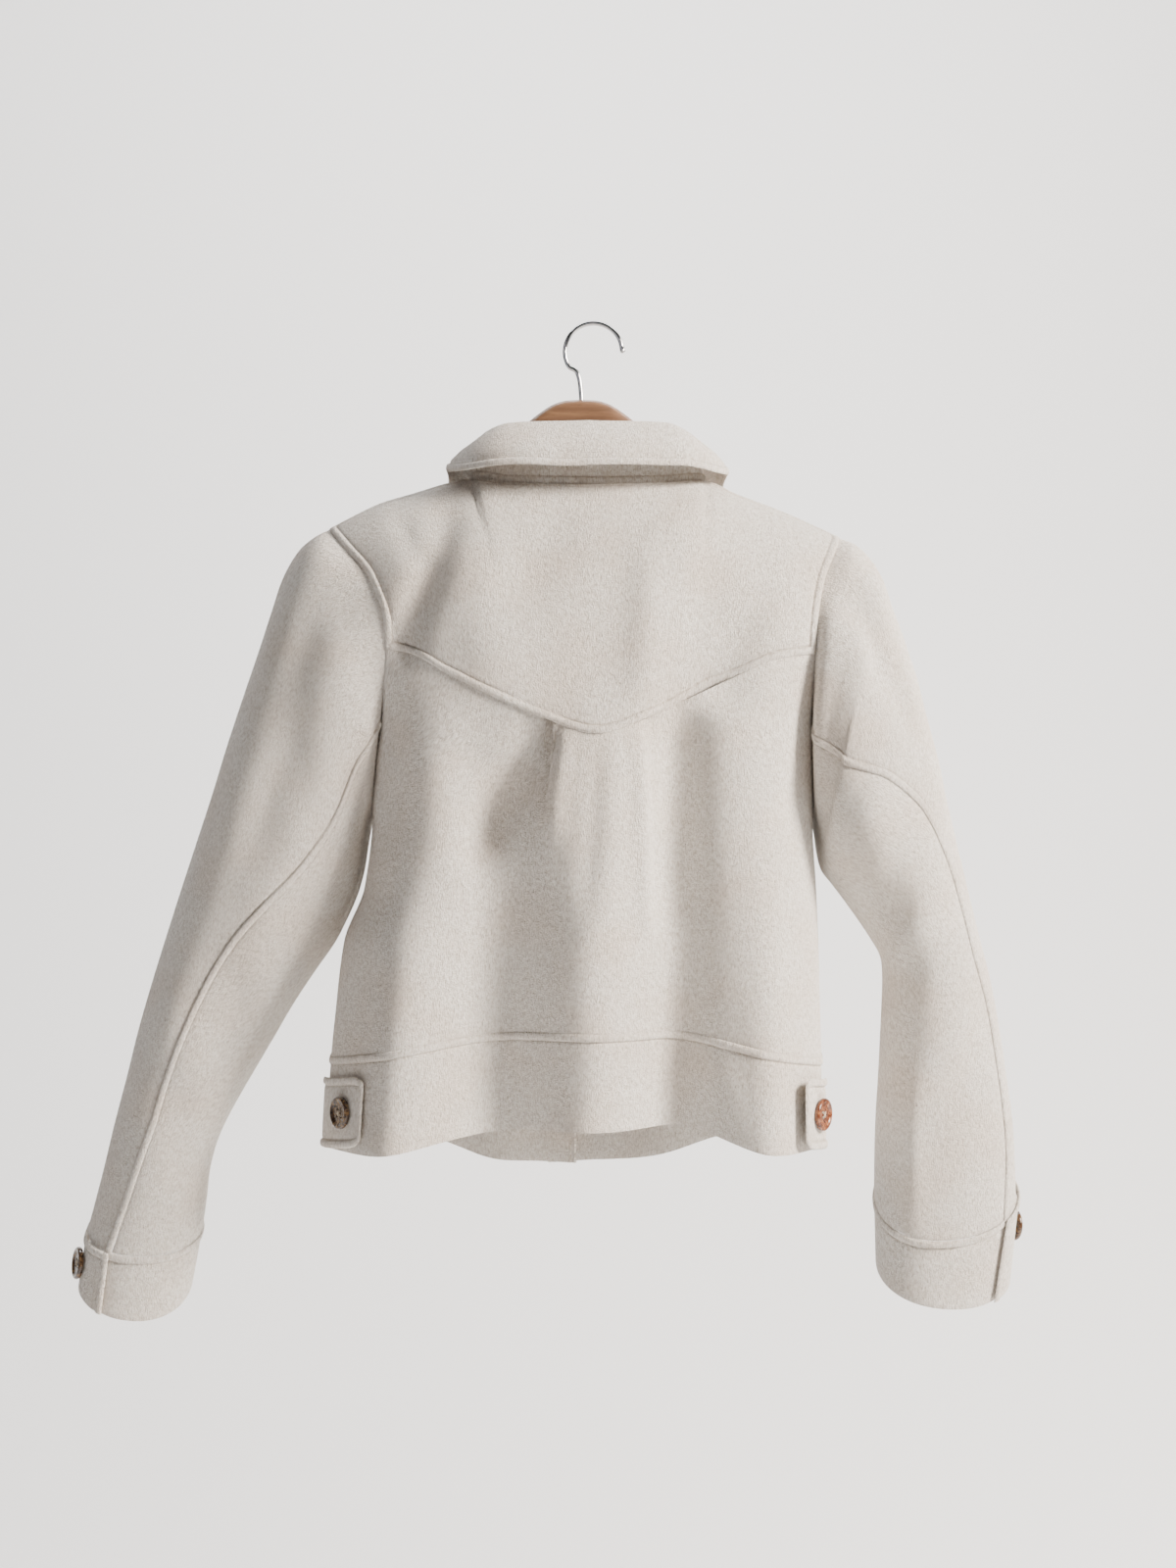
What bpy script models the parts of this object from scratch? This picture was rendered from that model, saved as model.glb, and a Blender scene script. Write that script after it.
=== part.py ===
"""Cropped boxy jacket in brushed wool on a wooden hanger, seen from its back.

Metres, +Z up. The origin is the inner top of the hook, where the hanger rests.
The back of the jacket faces -Y and the front faces +Y. A drop is a distance below
the origin. Left and right are as seen from the back, so left is -X.
"""
import math
from collections import namedtuple

import bmesh
import bpy
import numpy as np
from mathutils import Vector
from mathutils.kdtree import KDTree

COLLECTION = "boxy_jacket"
WALL = 0.0022
CLEAR = 0.0005
HALF_SEAM = 0.0003
LAYER = WALL + CLEAR
SIDE_POWER = 2.6
RIDGE = 0.098
MITRE_REACH = 0.005
MITRE_LIMIT = 1.3
MITRE_LEAST = 0.3
LEFT, RIGHT = "left", "right"

NECK = {LEFT: -0.095, RIGHT: 0.088}
NECK_MIDDLE = sum(NECK.values()) / 2
NECK_HALF = (NECK[RIGHT] - NECK[LEFT]) / 2
NECK_BACK_DEPTH = 0.032
NECK_FRONT_DEPTH = 0.064
NECK_FRONT_FALL = 0.083
NECK_OPENS = 1.3
CENTRE_FRONT = -0.0255
LAP_EDGE = {LEFT: -0.0135, RIGHT: -0.0375}
LAP_RUN = 0.030
LAP_LAYER = WALL + 0.0012

# Side lines and depths of the body, from the shoulders to the hem.
BodyRow = namedtuple("BodyRow", "drop left right back front")
BODY = [
    BodyRow(0.100, -0.245, 0.235, 0.058, 0.052),
    BodyRow(0.161, -0.234, 0.222, 0.068, 0.060),
    BodyRow(0.200, -0.213, 0.207, 0.076, 0.066),
    BodyRow(0.259, -0.187, 0.189, 0.083, 0.072),
    BodyRow(0.320, -0.1755, 0.1765, 0.086, 0.078),
    BodyRow(0.385, -0.1725, 0.1715, 0.086, 0.082),
    BodyRow(0.440, -0.1785, 0.1745, 0.085, 0.086),
    BodyRow(0.484, -0.1950, 0.1765, 0.083, 0.088),
    BodyRow(0.541, -0.2020, 0.1780, 0.080, 0.090),
    BodyRow(0.571, -0.2050, 0.1790, 0.078, 0.092),
    BodyRow(0.640, -0.2090, 0.1800, 0.075, 0.094),
    BodyRow(0.690, -0.2100, 0.1800, 0.074, 0.094),
]

# Top edge of the back: shoulder line, neck seam, shoulder line.
TopPoint = namedtuple("TopPoint", "across drop")
TOP_EDGE = [
    TopPoint(-0.2069, 0.1607), TopPoint(-0.1830, 0.1484), TopPoint(-0.1646, 0.1400),
    TopPoint(-0.1407, 0.1330), TopPoint(-0.1130, 0.1246), TopPoint(NECK[LEFT], 0.1215),
    TopPoint(-0.0623, 0.1278), TopPoint(-0.0035, 0.1295), TopPoint(0.0546, 0.1278),
    TopPoint(NECK[RIGHT], 0.1235), TopPoint(0.1123, 0.1335), TopPoint(0.1430, 0.1450),
    TopPoint(0.1653, 0.1546), TopPoint(0.1938, 0.1676),
]

# The armhole's place across, at parts of its height from shoulder to underarm.
ArmholeRow = namedtuple("ArmholeRow", "height left right")
ARMHOLE = [
    ArmholeRow(0.000, -0.2069, 0.1938), ArmholeRow(0.060, -0.1950, 0.1875),
    ArmholeRow(0.180, -0.1715, 0.1765), ArmholeRow(0.340, -0.1585, 0.1703),
    ArmholeRow(0.438, -0.1576, 0.1690), ArmholeRow(0.620, -0.1605, 0.1680),
    ArmholeRow(0.800, -0.1660, 0.1695), ArmholeRow(0.950, -0.1705, 0.1708),
    ArmholeRow(1.000, -0.1725, 0.1715),
]
SHOULDER_DROP = {LEFT: 0.1607, RIGHT: 0.1676}
UNDERARM_DROP = 0.385
YOKE_HEIGHTS = [0.0, 0.02, 0.07, 0.15, 0.24, 0.34, 0.43]
YOKE_LOW = YOKE_HEIGHTS[-1]
LOWER_HEIGHTS = [0.56, 0.70, 0.84, 0.95, 1.0]
ARMHOLE_HEIGHTS = YOKE_HEIGHTS + LOWER_HEIGHTS
SIDE_STEPS = [0.12, 0.24, 0.35, 0.46, 0.57, 0.68, 0.79, 0.90, 1.0]

# The pointed seam under the yoke.
YOKE_SEAM = [
    TopPoint(-0.1576, 0.2575), TopPoint(-0.1400, 0.2607), TopPoint(-0.1060, 0.2791),
    TopPoint(-0.0400, 0.3095), TopPoint(0.0030, 0.3225), TopPoint(0.0438, 0.3085),
    TopPoint(0.1038, 0.2807), TopPoint(0.1390, 0.2661), TopPoint(0.1690, 0.2610),
]
YOKE_POINT = 0.4914
PLEAT_MIDDLE = 0.003

# Band seam and hem, by the part of the way across the back or the front.
EdgeRow = namedtuple("EdgeRow", "part seam hem")
BACK_EDGE = [
    EdgeRow(0.00, 0.5710, 0.6400), EdgeRow(0.12, 0.5600, 0.6370),
    EdgeRow(0.30, 0.5490, 0.6250), EdgeRow(0.50, 0.5450, 0.6190),
    EdgeRow(0.70, 0.5470, 0.6190), EdgeRow(0.88, 0.5600, 0.6370),
    EdgeRow(1.00, 0.5720, 0.6400),
]
FRONT_EDGE = [
    EdgeRow(0.00, 0.5710, 0.6400), EdgeRow(0.30, 0.5790, 0.6500),
    EdgeRow(0.70, 0.5960, 0.6700), EdgeRow(1.00, 0.6010, 0.6750),
]

# Long soft folds: a line from top to bottom, half width, height at both ends.
Fold = namedtuple("Fold", "x_top top x_low low width rise_top rise_low")
BACK_FOLDS = [
    Fold(-0.135, 0.36, -0.165, 0.640, 0.036, 0.002, 0.036),
    Fold(-0.060, 0.40, -0.052, 0.640, 0.030, -0.004, -0.020),
    Fold(0.017, 0.36, 0.000, 0.640, 0.030, 0.003, 0.006),
    Fold(0.080, 0.38, 0.070, 0.640, 0.034, -0.004, -0.024),
    Fold(0.148, 0.38, 0.146, 0.640, 0.026, 0.002, 0.034),
    Fold(-0.112, 0.175, -0.143, 0.252, 0.013, -0.004, -0.009),
    Fold(0.128, 0.200, 0.100, 0.285, 0.020, -0.003, -0.007),
]
FRONT_FOLDS = [
    Fold(-0.120, 0.30, -0.135, 0.675, 0.034, 0.002, 0.016),
    Fold(-0.070, 0.34, -0.080, 0.675, 0.026, -0.003, -0.014),
    Fold(0.060, 0.34, 0.056, 0.675, 0.028, -0.003, -0.014),
    Fold(0.115, 0.30, 0.118, 0.675, 0.032, 0.002, 0.016),
]
FOLD_FADE = 0.030
FOLD_EASE = 0.02
BAND_STEPS = (0.0, 0.33, 0.67, 1.0)

# Box pleat: its two edges and how far each is still folded, down the back.
PleatRow = namedtuple("PleatRow", "drop left left_closed right right_closed")
PLEAT = [
    PleatRow(0.310, -0.0277, 1.00, 0.0354, 1.00), PleatRow(0.340, -0.0300, 0.95, 0.0358, 0.97),
    PleatRow(0.365, -0.0325, 0.85, 0.0362, 0.92), PleatRow(0.390, -0.0350, 0.62, 0.0366, 0.84),
    PleatRow(0.410, -0.0370, 0.40, 0.0370, 0.72), PleatRow(0.425, -0.0390, 0.16, 0.0374, 0.60),
    PleatRow(0.480, -0.0400, 0.00, 0.0378, 0.16), PleatRow(0.535, -0.0405, 0.00, 0.0382, 0.00),
    PleatRow(0.600, -0.0410, 0.00, 0.0386, 0.00),
]
PLEAT_UNDER = 0.022
PLEAT_DEPTH = 2 * LAYER
# One pleat edge in plan, from the panel under the box and back out to the box:
# places across when folded and when open, whether a point goes in with the fold
# under the box, and its depth in parts of the pleat's depth.
PleatPoint = namedtuple("PleatPoint", "folded open under depth")
PLEAT_EDGE = [
    PleatPoint(-0.0075, -0.0120, 0, 0.00),
    PleatPoint(-0.0020, -0.0090, 0, 1.00),
    PleatPoint(0.0000, -0.0060, 1, 1.00),
    PleatPoint(0.0006, -0.0030, 1, 1.00 - 0.5 * CLEAR / PLEAT_DEPTH),
    PleatPoint(0.0000, 0.0000, 1, 1.00 - CLEAR / PLEAT_DEPTH),
    PleatPoint(0.0026, 0.0030, 0, 1.00 - CLEAR / PLEAT_DEPTH),
    PleatPoint(0.0000, 0.0060, 0, 0.45),
    PleatPoint(0.0026, 0.0090, 0, 0.00),
]
PLEAT_OPENS = 0.16
PLEAT_TUCK = 0.0006

# Columns of the back, as parts of its width, from the side to the pleat's edge.
SIDE_PARTS = [0.0, 0.012, 0.035, 0.07, 0.12, 0.18, 0.235]
FRONT_NECK_ANGLES = [22, 45, 65, 84]

# Rings of a sleeve: its outer and inner edge as seen from the back, the forward
# shift and half depth of the ring, how far its middle is drawn in, the angle of the
# back seam, and how much lower the ring is at the back.
Ring = namedtuple("Ring", "out_x out_drop in_x in_drop forward depth drawn seam tilt")
SLEEVES = {
    LEFT: [
        Ring(-0.2176, 0.1660, -0.1765, 0.3930, 0.002, 0.060, 0.022, 117, 0.0000),
        Ring(-0.2307, 0.1770, -0.1775, 0.4030, 0.004, 0.064, 0.016, 119, 0.0000),
        Ring(-0.2430, 0.1975, -0.1790, 0.4160, 0.006, 0.066, 0.011, 121, 0.0000),
        Ring(-0.2522, 0.2240, -0.1815, 0.4320, 0.008, 0.067, 0.007, 121, 0.0000),
        Ring(-0.2622, 0.2538, -0.1870, 0.4500, 0.010, 0.067, 0.004, 119, 0.0000),
        Ring(-0.2753, 0.2922, -0.1955, 0.4690, 0.011, 0.066, 0.001, 116, 0.0000),
        Ring(-0.2876, 0.3291, -0.2045, 0.4860, 0.012, 0.064, 0.000, 111, 0.0000),
        Ring(-0.2991, 0.3661, -0.2207, 0.5090, 0.013, 0.061, 0.000, 104, 0.0000),
        Ring(-0.3115, 0.4030, -0.2376, 0.5345, 0.014, 0.057, 0.000, 97, 0.0000),
        Ring(-0.3237, 0.4399, -0.2538, 0.5622, 0.014, 0.053, 0.000, 92, 0.0000),
        Ring(-0.3360, 0.4776, -0.2684, 0.5875, 0.014, 0.050, 0.000, 89, 0.0020),
        Ring(-0.3476, 0.5145, -0.2815, 0.6129, 0.014, 0.047, 0.000, 87, 0.0040),
        Ring(-0.3584, 0.5514, -0.2915, 0.6314, 0.014, 0.044, 0.000, 86, 0.0060),
        Ring(-0.3676, 0.5883, -0.2991, 0.6483, 0.014, 0.042, 0.000, 85, 0.0080),
        Ring(-0.3776, 0.6260, -0.3038, 0.6675, 0.014, 0.040, 0.000, 80, 0.0100),
        Ring(-0.3868, 0.6637, -0.3061, 0.6890, 0.014, 0.038, 0.000, 73, 0.0125),
        Ring(-0.3985, 0.7080, -0.3091, 0.7121, 0.014, 0.037, 0.000, 66, 0.0150),
    ],
    RIGHT: [
        Ring(0.2053, 0.1725, 0.1750, 0.3930, 0.000, 0.060, 0.019, 113, 0.0000),
        Ring(0.2163, 0.1830, 0.1758, 0.4020, 0.000, 0.065, 0.013, 111, 0.0000),
        Ring(0.2263, 0.1995, 0.1768, 0.4110, 0.000, 0.069, 0.009, 108, 0.0000),
        Ring(0.2340, 0.2215, 0.1782, 0.4200, 0.001, 0.071, 0.011, 103, 0.0000),
        Ring(0.2438, 0.2476, 0.1805, 0.4290, 0.002, 0.070, 0.007, 96, 0.0000),
        Ring(0.2538, 0.2784, 0.1884, 0.4391, 0.003, 0.068, 0.004, 88, 0.0000),
        Ring(0.2615, 0.3084, 0.1984, 0.4522, 0.004, 0.065, 0.001, 80, 0.0000),
        Ring(0.2699, 0.3391, 0.2084, 0.4660, 0.005, 0.062, 0.000, 71, 0.0000),
        Ring(0.2776, 0.3714, 0.2184, 0.4806, 0.006, 0.058, 0.000, 62, 0.0020),
        Ring(0.2861, 0.4060, 0.2269, 0.4953, 0.007, 0.054, 0.000, 54, 0.0050),
        Ring(0.2953, 0.4445, 0.2292, 0.5137, 0.008, 0.051, 0.000, 48, 0.0080),
        Ring(0.3045, 0.4791, 0.2276, 0.5445, 0.010, 0.048, 0.000, 43, 0.0120),
        Ring(0.3138, 0.5137, 0.2269, 0.5714, 0.012, 0.044, 0.000, 38, 0.0160),
        Ring(0.3207, 0.5483, 0.2261, 0.5983, 0.014, 0.041, 0.000, 35, 0.0200),
        Ring(0.3276, 0.5906, 0.2246, 0.6252, 0.016, 0.038, 0.000, 34, 0.0240),
        Ring(0.3330, 0.6290, 0.2238, 0.6560, 0.018, 0.036, 0.000, 36, 0.0280),
        Ring(0.3355, 0.6790, 0.2238, 0.6900, 0.020, 0.035, 0.000, 43, 0.0300),
    ],
}
CUFF_ENDS = {
    LEFT: Ring(-0.4045, 0.7440, -0.3168, 0.7540, 0.014, 0.036, 0.000, 66, 0.0260),
    RIGHT: Ring(0.3290, 0.7460, 0.2253, 0.7420, 0.022, 0.034, 0.000, 50, 0.0250),
}
SLEEVE_POWER = 2.15
BACK_SEAM_HEIGHT = 0.70
CUFF_LAP = 34
CUFF_CELLS = 24
CUFF_START = 0.012

# Soft dents and ridges of a sleeve: ring, angle, half widths and height.
Dent = namedtuple("Dent", "ring angle rings angles rise")
SLEEVE_DENTS = {
    LEFT: [
        Dent(3.0, 60, 2.2, 16, -0.007), Dent(6.0, 80, 2.4, 14, -0.005),
        Dent(9.0, 130, 1.2, 24, 0.004), Dent(10.6, 125, 0.9, 26, -0.005),
        Dent(12.0, 40, 1.8, 18, -0.003), Dent(8.0, 300, 2.0, 20, -0.005),
    ],
    RIGHT: [
        Dent(3.4, 52, 2.6, 13, -0.009), Dent(6.0, 100, 1.4, 22, 0.005),
        Dent(8.6, 118, 1.0, 26, -0.005), Dent(10.0, 150, 1.2, 24, 0.004),
        Dent(11.4, 120, 0.9, 30, -0.004), Dent(9.0, 290, 2.0, 20, -0.005),
    ],
}

# The collar, from the centre back (place 0) past the shoulder (1) to the front (2).
CollarRow = namedtuple("CollarRow", "place rise lean out down")
COLLAR = [
    CollarRow(0.00, 0.0450, 0.004, 0.034, 0.034),
    CollarRow(0.45, 0.0430, 0.004, 0.033, 0.034),
    CollarRow(0.65, 0.0350, 0.004, 0.030, 0.031),
    CollarRow(0.80, 0.0270, 0.004, 0.026, 0.024),
    CollarRow(1.00, 0.0200, 0.003, 0.022, 0.013),
    CollarRow(1.25, 0.0200, 0.002, 0.040, 0.014),
    CollarRow(1.55, 0.0190, 0.002, 0.040, 0.030),
    CollarRow(1.93, 0.0180, 0.002, 0.030, 0.046),
]
# The fold's section over the stand: out from the fold point, and up from it.
FOLD_SECTION = [(-0.0056, -0.0070), (-0.0048, 0.0004), (-0.0010, 0.0036), (0.0036, 0.0022)]
FALL_PARTS = [0.33, 0.66, 1.0]
FALL_BULGE = 0.004
FALL_LIFT = 0.0012

TAB_START = 0.004
TAB_LENGTH_PART = {LEFT: 0.092, RIGHT: 0.064}
TAB_SPACING = 1.6
TAB_LIFT = {LEFT: 0.0006, RIGHT: 0.0060}
TAB_TOP = 0.016
TAB_HEIGHT = 0.054
TAB_CORNER = 0.008
TAB_CORNER_FROM = 0.8
TAB_STEPS = (0.0, 0.2, 0.5, 0.8, 1.0)
TAB_CELLS = 7
TAB_CLEAR = {LEFT: 0.0008, RIGHT: 0.0002}
NORMAL_STEP = 0.004

BUTTON_RADIUS = 0.0125
BUTTON_THICKNESS = 0.0040
BUTTON_STEPS = 16
BUTTON_CLEAR = 0.0010
CUFF_BUTTON_CLEAR = 0.0003
TAB_BUTTON_ALONG = {LEFT: 0.68, RIGHT: 0.55}
CUFF_BUTTON_ANGLE = {LEFT: 20, RIGHT: -8}
CUFF_BUTTON_DOWN = 0.55
FRONT_BUTTONS = 5
FRONT_BUTTON_FIRST = 0.235
FRONT_BUTTON_LAST = 0.640

WIRE = 0.00175
HOOK_RADIUS = 0.0225
HANGER_MIDDLE = -0.009
HANGER_REACH = {LEFT: -0.197, RIGHT: 0.184}
HANGER_SECTIONS = 26
HANGER_CLEAR = 0.0028
HangerRow = namedtuple("HangerRow", "out drop height thick")
HANGER = [
    HangerRow(0.000, 0.0585, 0.034, 0.0150), HangerRow(0.010, 0.0588, 0.034, 0.0150),
    HangerRow(0.020, 0.0612, 0.033, 0.0150), HangerRow(0.035, 0.0705, 0.031, 0.0148),
    HangerRow(0.047, 0.0812, 0.029, 0.0145), HangerRow(0.060, 0.0962, 0.027, 0.0140),
    HangerRow(0.072, 0.1150, 0.025, 0.0130), HangerRow(0.084, 0.1300, 0.022, 0.0120),
    HangerRow(0.120, 0.1310, 0.021, 0.0115), HangerRow(0.200, 0.1400, 0.019, 0.0105),
]


def through(places, values):
    """A smooth curve through the values at the places that never overshoots them."""
    places = np.array(places, float)
    values = np.array(values, float)
    steps = np.diff(places)
    rates = np.diff(values) / steps
    slopes = np.zeros(len(values))
    for i in range(1, len(values) - 1):
        if rates[i - 1] * rates[i] > 0:
            slopes[i] = 2 / (1 / rates[i - 1] + 1 / rates[i])
    slopes[0] = rates[0]
    slopes[-1] = rates[-1]

    def value(place):
        place = min(max(place, places[0]), places[-1])
        i = min(int(np.searchsorted(places, place, side="right")) - 1, len(steps) - 1)
        t = (place - places[i]) / steps[i]
        start = (1 + 2 * t) * (1 - t) ** 2 * values[i] + t * (1 - t) ** 2 * steps[i] * slopes[i]
        end = t * t * (3 - 2 * t) * values[i + 1] + t * t * (t - 1) * steps[i] * slopes[i + 1]
        return start + end

    return value


def column(rows, name):
    """A smooth curve of one named column against the first one."""
    return through([row[0] for row in rows], [getattr(row, name) for row in rows])


def mix(a, b, part):
    return a + (b - a) * part


def smooth(value):
    value = min(max(value, 0.0), 1.0)
    return value * value * (3 - 2 * value)


def ridge(below):
    """How far the cloth has reached its full depth, that far below the shoulder."""
    rest = 1 - min(max(below / RIDGE, 0.0), 1.0)
    return math.sqrt(1 - rest * rest)


BODY_SIDE = {LEFT: column(BODY, "left"), RIGHT: column(BODY, "right")}
BODY_DEPTH = {"back": column(BODY, "back"), "front": column(BODY, "front")}
ARMHOLE_AT = {LEFT: column(ARMHOLE, "left"), RIGHT: column(ARMHOLE, "right")}
TOP_DROP = column(TOP_EDGE, "drop")
SEAM_DROP = column(YOKE_SEAM, "drop")
BACK_SEAM, BACK_HEM = column(BACK_EDGE, "seam"), column(BACK_EDGE, "hem")
FRONT_SEAM, FRONT_HEM = column(FRONT_EDGE, "seam"), column(FRONT_EDGE, "hem")


def armhole_drop(side, height):
    return mix(SHOULDER_DROP[side], UNDERARM_DROP, height)


def side_edge(side, drop):
    """Where a panel ends at this drop: at the armhole, and below it at the side seam."""
    height = (drop - SHOULDER_DROP[side]) / (UNDERARM_DROP - SHOULDER_DROP[side])
    return ARMHOLE_AT[side](height) if height < 1 else BODY_SIDE[side](drop)


def folds_at(x, drop, folds):
    total = 0.0
    for fold in folds:
        gone = (drop - fold.top) / (fold.low - fold.top)
        part = min((gone + math.sqrt(gone * gone + FOLD_EASE)) / 2, 1.0)
        middle = mix(fold.x_top, fold.x_low, part)
        over = max(fold.top - drop, drop - fold.low, 0.0)
        rise = mix(fold.rise_top, fold.rise_low, part) * (1 - smooth(over / FOLD_FADE))
        total += rise * math.exp(-((x - middle) / fold.width) ** 2)
    return total


def depth_at(x, drop, face):
    """Distance of the back or front cloth from the middle plane."""
    left, right = BODY_SIDE[LEFT](drop), BODY_SIDE[RIGHT](drop)
    part = min(abs((x - (left + right) / 2) / ((right - left) / 2)), 1.0)
    depth = BODY_DEPTH[face](drop) * (1 - part ** SIDE_POWER) ** (1 / SIDE_POWER)
    folds = BACK_FOLDS if face == "back" else FRONT_FOLDS
    return depth + folds_at(x, drop, folds) * (1 - part ** 4)


def neck_back_y(x):
    part = (x - NECK_MIDDLE) / NECK_HALF
    return -NECK_BACK_DEPTH * math.sqrt(1 - part * part) if abs(part) < 1 else 0.0


def back_y(x, drop, x_top):
    """The back cloth's place in depth, under the top edge's point at x_top."""
    part = ridge(drop - TOP_DROP(x_top))
    return mix(neck_back_y(x_top), -depth_at(x, drop, "back"), part)


def back_parts():
    """The back's columns, as parts of its width, the same in yoke and lower back."""
    top_left, top_right = ARMHOLE_AT[LEFT](0), ARMHOLE_AT[RIGHT](0)
    width = top_right - top_left
    neck_left = (NECK[LEFT] - top_left) / width
    neck_right = (NECK[RIGHT] - top_left) / width
    low_left = ARMHOLE_AT[LEFT](YOKE_LOW)
    low_width = ARMHOLE_AT[RIGHT](YOKE_LOW) - low_left
    pleat_left = (PLEAT[0].left - low_left) / low_width
    pleat_right = (PLEAT[0].right - low_left) / low_width
    left = SIDE_PARTS + [neck_left, mix(neck_left, pleat_left, 0.5)]
    box = [pleat_left, mix(pleat_left, YOKE_POINT, 0.5), YOKE_POINT,
           mix(YOKE_POINT, pleat_right, 0.5), pleat_right]
    right = [mix(pleat_right, neck_right, 0.5), neck_right]
    right += [1 - part for part in reversed(SIDE_PARTS)]
    return left, box, right


def yoke_points():
    left, box, right = back_parts()
    rows = []
    for height in YOKE_HEIGHTS:
        x_left, x_right = ARMHOLE_AT[LEFT](height), ARMHOLE_AT[RIGHT](height)
        row = []
        for part in left + box + right:
            x_top = mix(ARMHOLE_AT[LEFT](0), ARMHOLE_AT[RIGHT](0), part)
            x_low = mix(ARMHOLE_AT[LEFT](YOKE_LOW), ARMHOLE_AT[RIGHT](YOKE_LOW), part)
            x = mix(x_left, x_right, part)
            drop = mix(yoke_top(part, x_top), yoke_low(part, x_low), height / YOKE_LOW)
            row.append((x, back_y(x, drop, x_top), -drop))
        rows.append(row)
    return np.array(rows)


def yoke_top(part, x_top):
    if part in (0.0, 1.0):
        return SHOULDER_DROP[LEFT] if part == 0.0 else SHOULDER_DROP[RIGHT]
    return TOP_DROP(x_top)


def yoke_low(part, x_low):
    if part in (0.0, 1.0):
        return armhole_drop(LEFT if part == 0.0 else RIGHT, YOKE_LOW)
    return SEAM_DROP(x_low)


def side_drops(side, first_heights, seam, steps):
    """Drops of a panel's rows at its side: down the armhole, then down the side seam."""
    drops = [armhole_drop(side, height) for height in first_heights]
    return drops + [mix(UNDERARM_DROP, seam, step) for step in steps]


def pleat_run(edge, closed, mirrored):
    """Offsets across and inwards of one pleat edge's points, in order across."""
    points = []
    run = PLEAT_UNDER * max(closed, PLEAT_OPENS)
    shut = min(closed / PLEAT_OPENS, 1.0)
    for point in PLEAT_EDGE:
        across = mix(point.open, point.folded + run * point.under, shut)
        inward = point.depth * PLEAT_DEPTH * shut
        points.append((edge - across if mirrored else edge + across, inward))
    return points[::-1] if mirrored else points


def back_panel_points():
    left, box, right = back_parts()
    heights = [YOKE_LOW] + LOWER_HEIGHTS
    left_drops = side_drops(LEFT, heights, BACK_SEAM(0), SIDE_STEPS)
    right_drops = side_drops(RIGHT, heights, BACK_SEAM(1), SIDE_STEPS)
    pleat = {name: column(PLEAT, name) for name in PleatRow._fields[1:]}
    rows, tops = [], []
    for left_drop, right_drop in zip(left_drops, right_drops):
        x_left, x_right = side_edge(LEFT, left_drop), side_edge(RIGHT, right_drop)
        gone = [(left_drop - left_drops[0]) / (left_drops[-1] - left_drops[0]),
                (right_drop - right_drops[0]) / (right_drops[-1] - right_drops[0])]

        middle = mix(SEAM_DROP(PLEAT_MIDDLE), BACK_SEAM(YOKE_POINT), sum(gone) / 2)
        first = pleat_run(pleat["left"](middle), pleat["left_closed"](middle), False)
        last = pleat_run(pleat["right"](middle), pleat["right_closed"](middle), True)
        row = [(mix(x_left, x_right, part), 0.0, part) for part in left]
        row += [(x, inward, box[0]) for x, inward in first]
        for part in box[1:4]:
            across = (part - box[0]) / (box[4] - box[0])
            row.append((mix(first[-1][0], last[0][0], across), 0.0, part))
        row += [(x, inward, box[4]) for x, inward in last]
        row += [(mix(x_left, x_right, part), 0.0, part) for part in right]
        if not tops:
            tops = [yoke_low(part, x) + (PLEAT_TUCK if part in box else 0.0)
                    for x, _, part in row]
        points = []
        for (x, inward, part), top in zip(row, tops):
            across = (x - x_left) / (x_right - x_left)
            drop = mix(top, BACK_SEAM(across), mix(gone[0], gone[1], part))
            points.append((x, back_y(x, drop, x) + inward, -drop))
        rows.append(points)
    return np.array(rows)


def front_neck(side, angle):
    """A point of the front neck edge, 0 degrees at the shoulder and 90 at the centre."""
    turn = math.radians(angle)
    x = mix(NECK[side], CENTRE_FRONT, (angle / 90) ** NECK_OPENS)
    drop = TOP_DROP(NECK[side]) + NECK_FRONT_FALL * math.sin(turn) ** 1.3
    return x, NECK_FRONT_DEPTH * math.sin(turn) ** 0.65, drop


def lap_angle(side):
    """The neck angle at which a front ends, past the centre front."""
    beyond = (LAP_EDGE[side] - NECK[side]) / (CENTRE_FRONT - NECK[side])
    return 90 * beyond ** (1 / NECK_OPENS)


def front_tops(side):
    """The top points of a front's columns, along the shoulder and then the neck."""
    top_left, top_right = ARMHOLE_AT[LEFT](0), ARMHOLE_AT[RIGHT](0)
    tops = []
    for part in SIDE_PARTS:
        x = mix(top_left, top_right, part if side == LEFT else 1 - part)
        drop = SHOULDER_DROP[side] if part == 0.0 else TOP_DROP(x)
        tops.append((x, 0.0, drop))
    angles = [0] + FRONT_NECK_ANGLES + [lap_angle(side)]
    return tops + [front_neck(side, angle) for angle in angles]


def lap_rise(side, x):
    """The right front lies over the left one, by one layer of cloth."""
    if side == LEFT:
        return 0.0
    return LAP_LAYER * smooth((LAP_EDGE[LEFT] + LAP_RUN - x) / (LAP_RUN * 0.6))


def front_points(side):
    tops = front_tops(side)
    drops = side_drops(side, ARMHOLE_HEIGHTS, FRONT_SEAM(0), SIDE_STEPS)
    x_shoulder, x_end = tops[0][0], tops[-1][0]
    rows = []
    for side_drop in drops:
        gone = (side_drop - drops[0]) / (drops[-1] - drops[0])
        row = []
        for x_top, y_top, top in tops:
            part = (x_top - x_shoulder) / (x_end - x_shoulder)
            x = mix(side_edge(side, side_drop), x_end, part)
            drop = mix(top, FRONT_SEAM(part), gone)
            y = mix(y_top, depth_at(x, drop, "front"), ridge(drop - top))
            row.append((x, y + lap_rise(side, x), -drop))
        rows.append(row)
    return np.array(rows)


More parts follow.
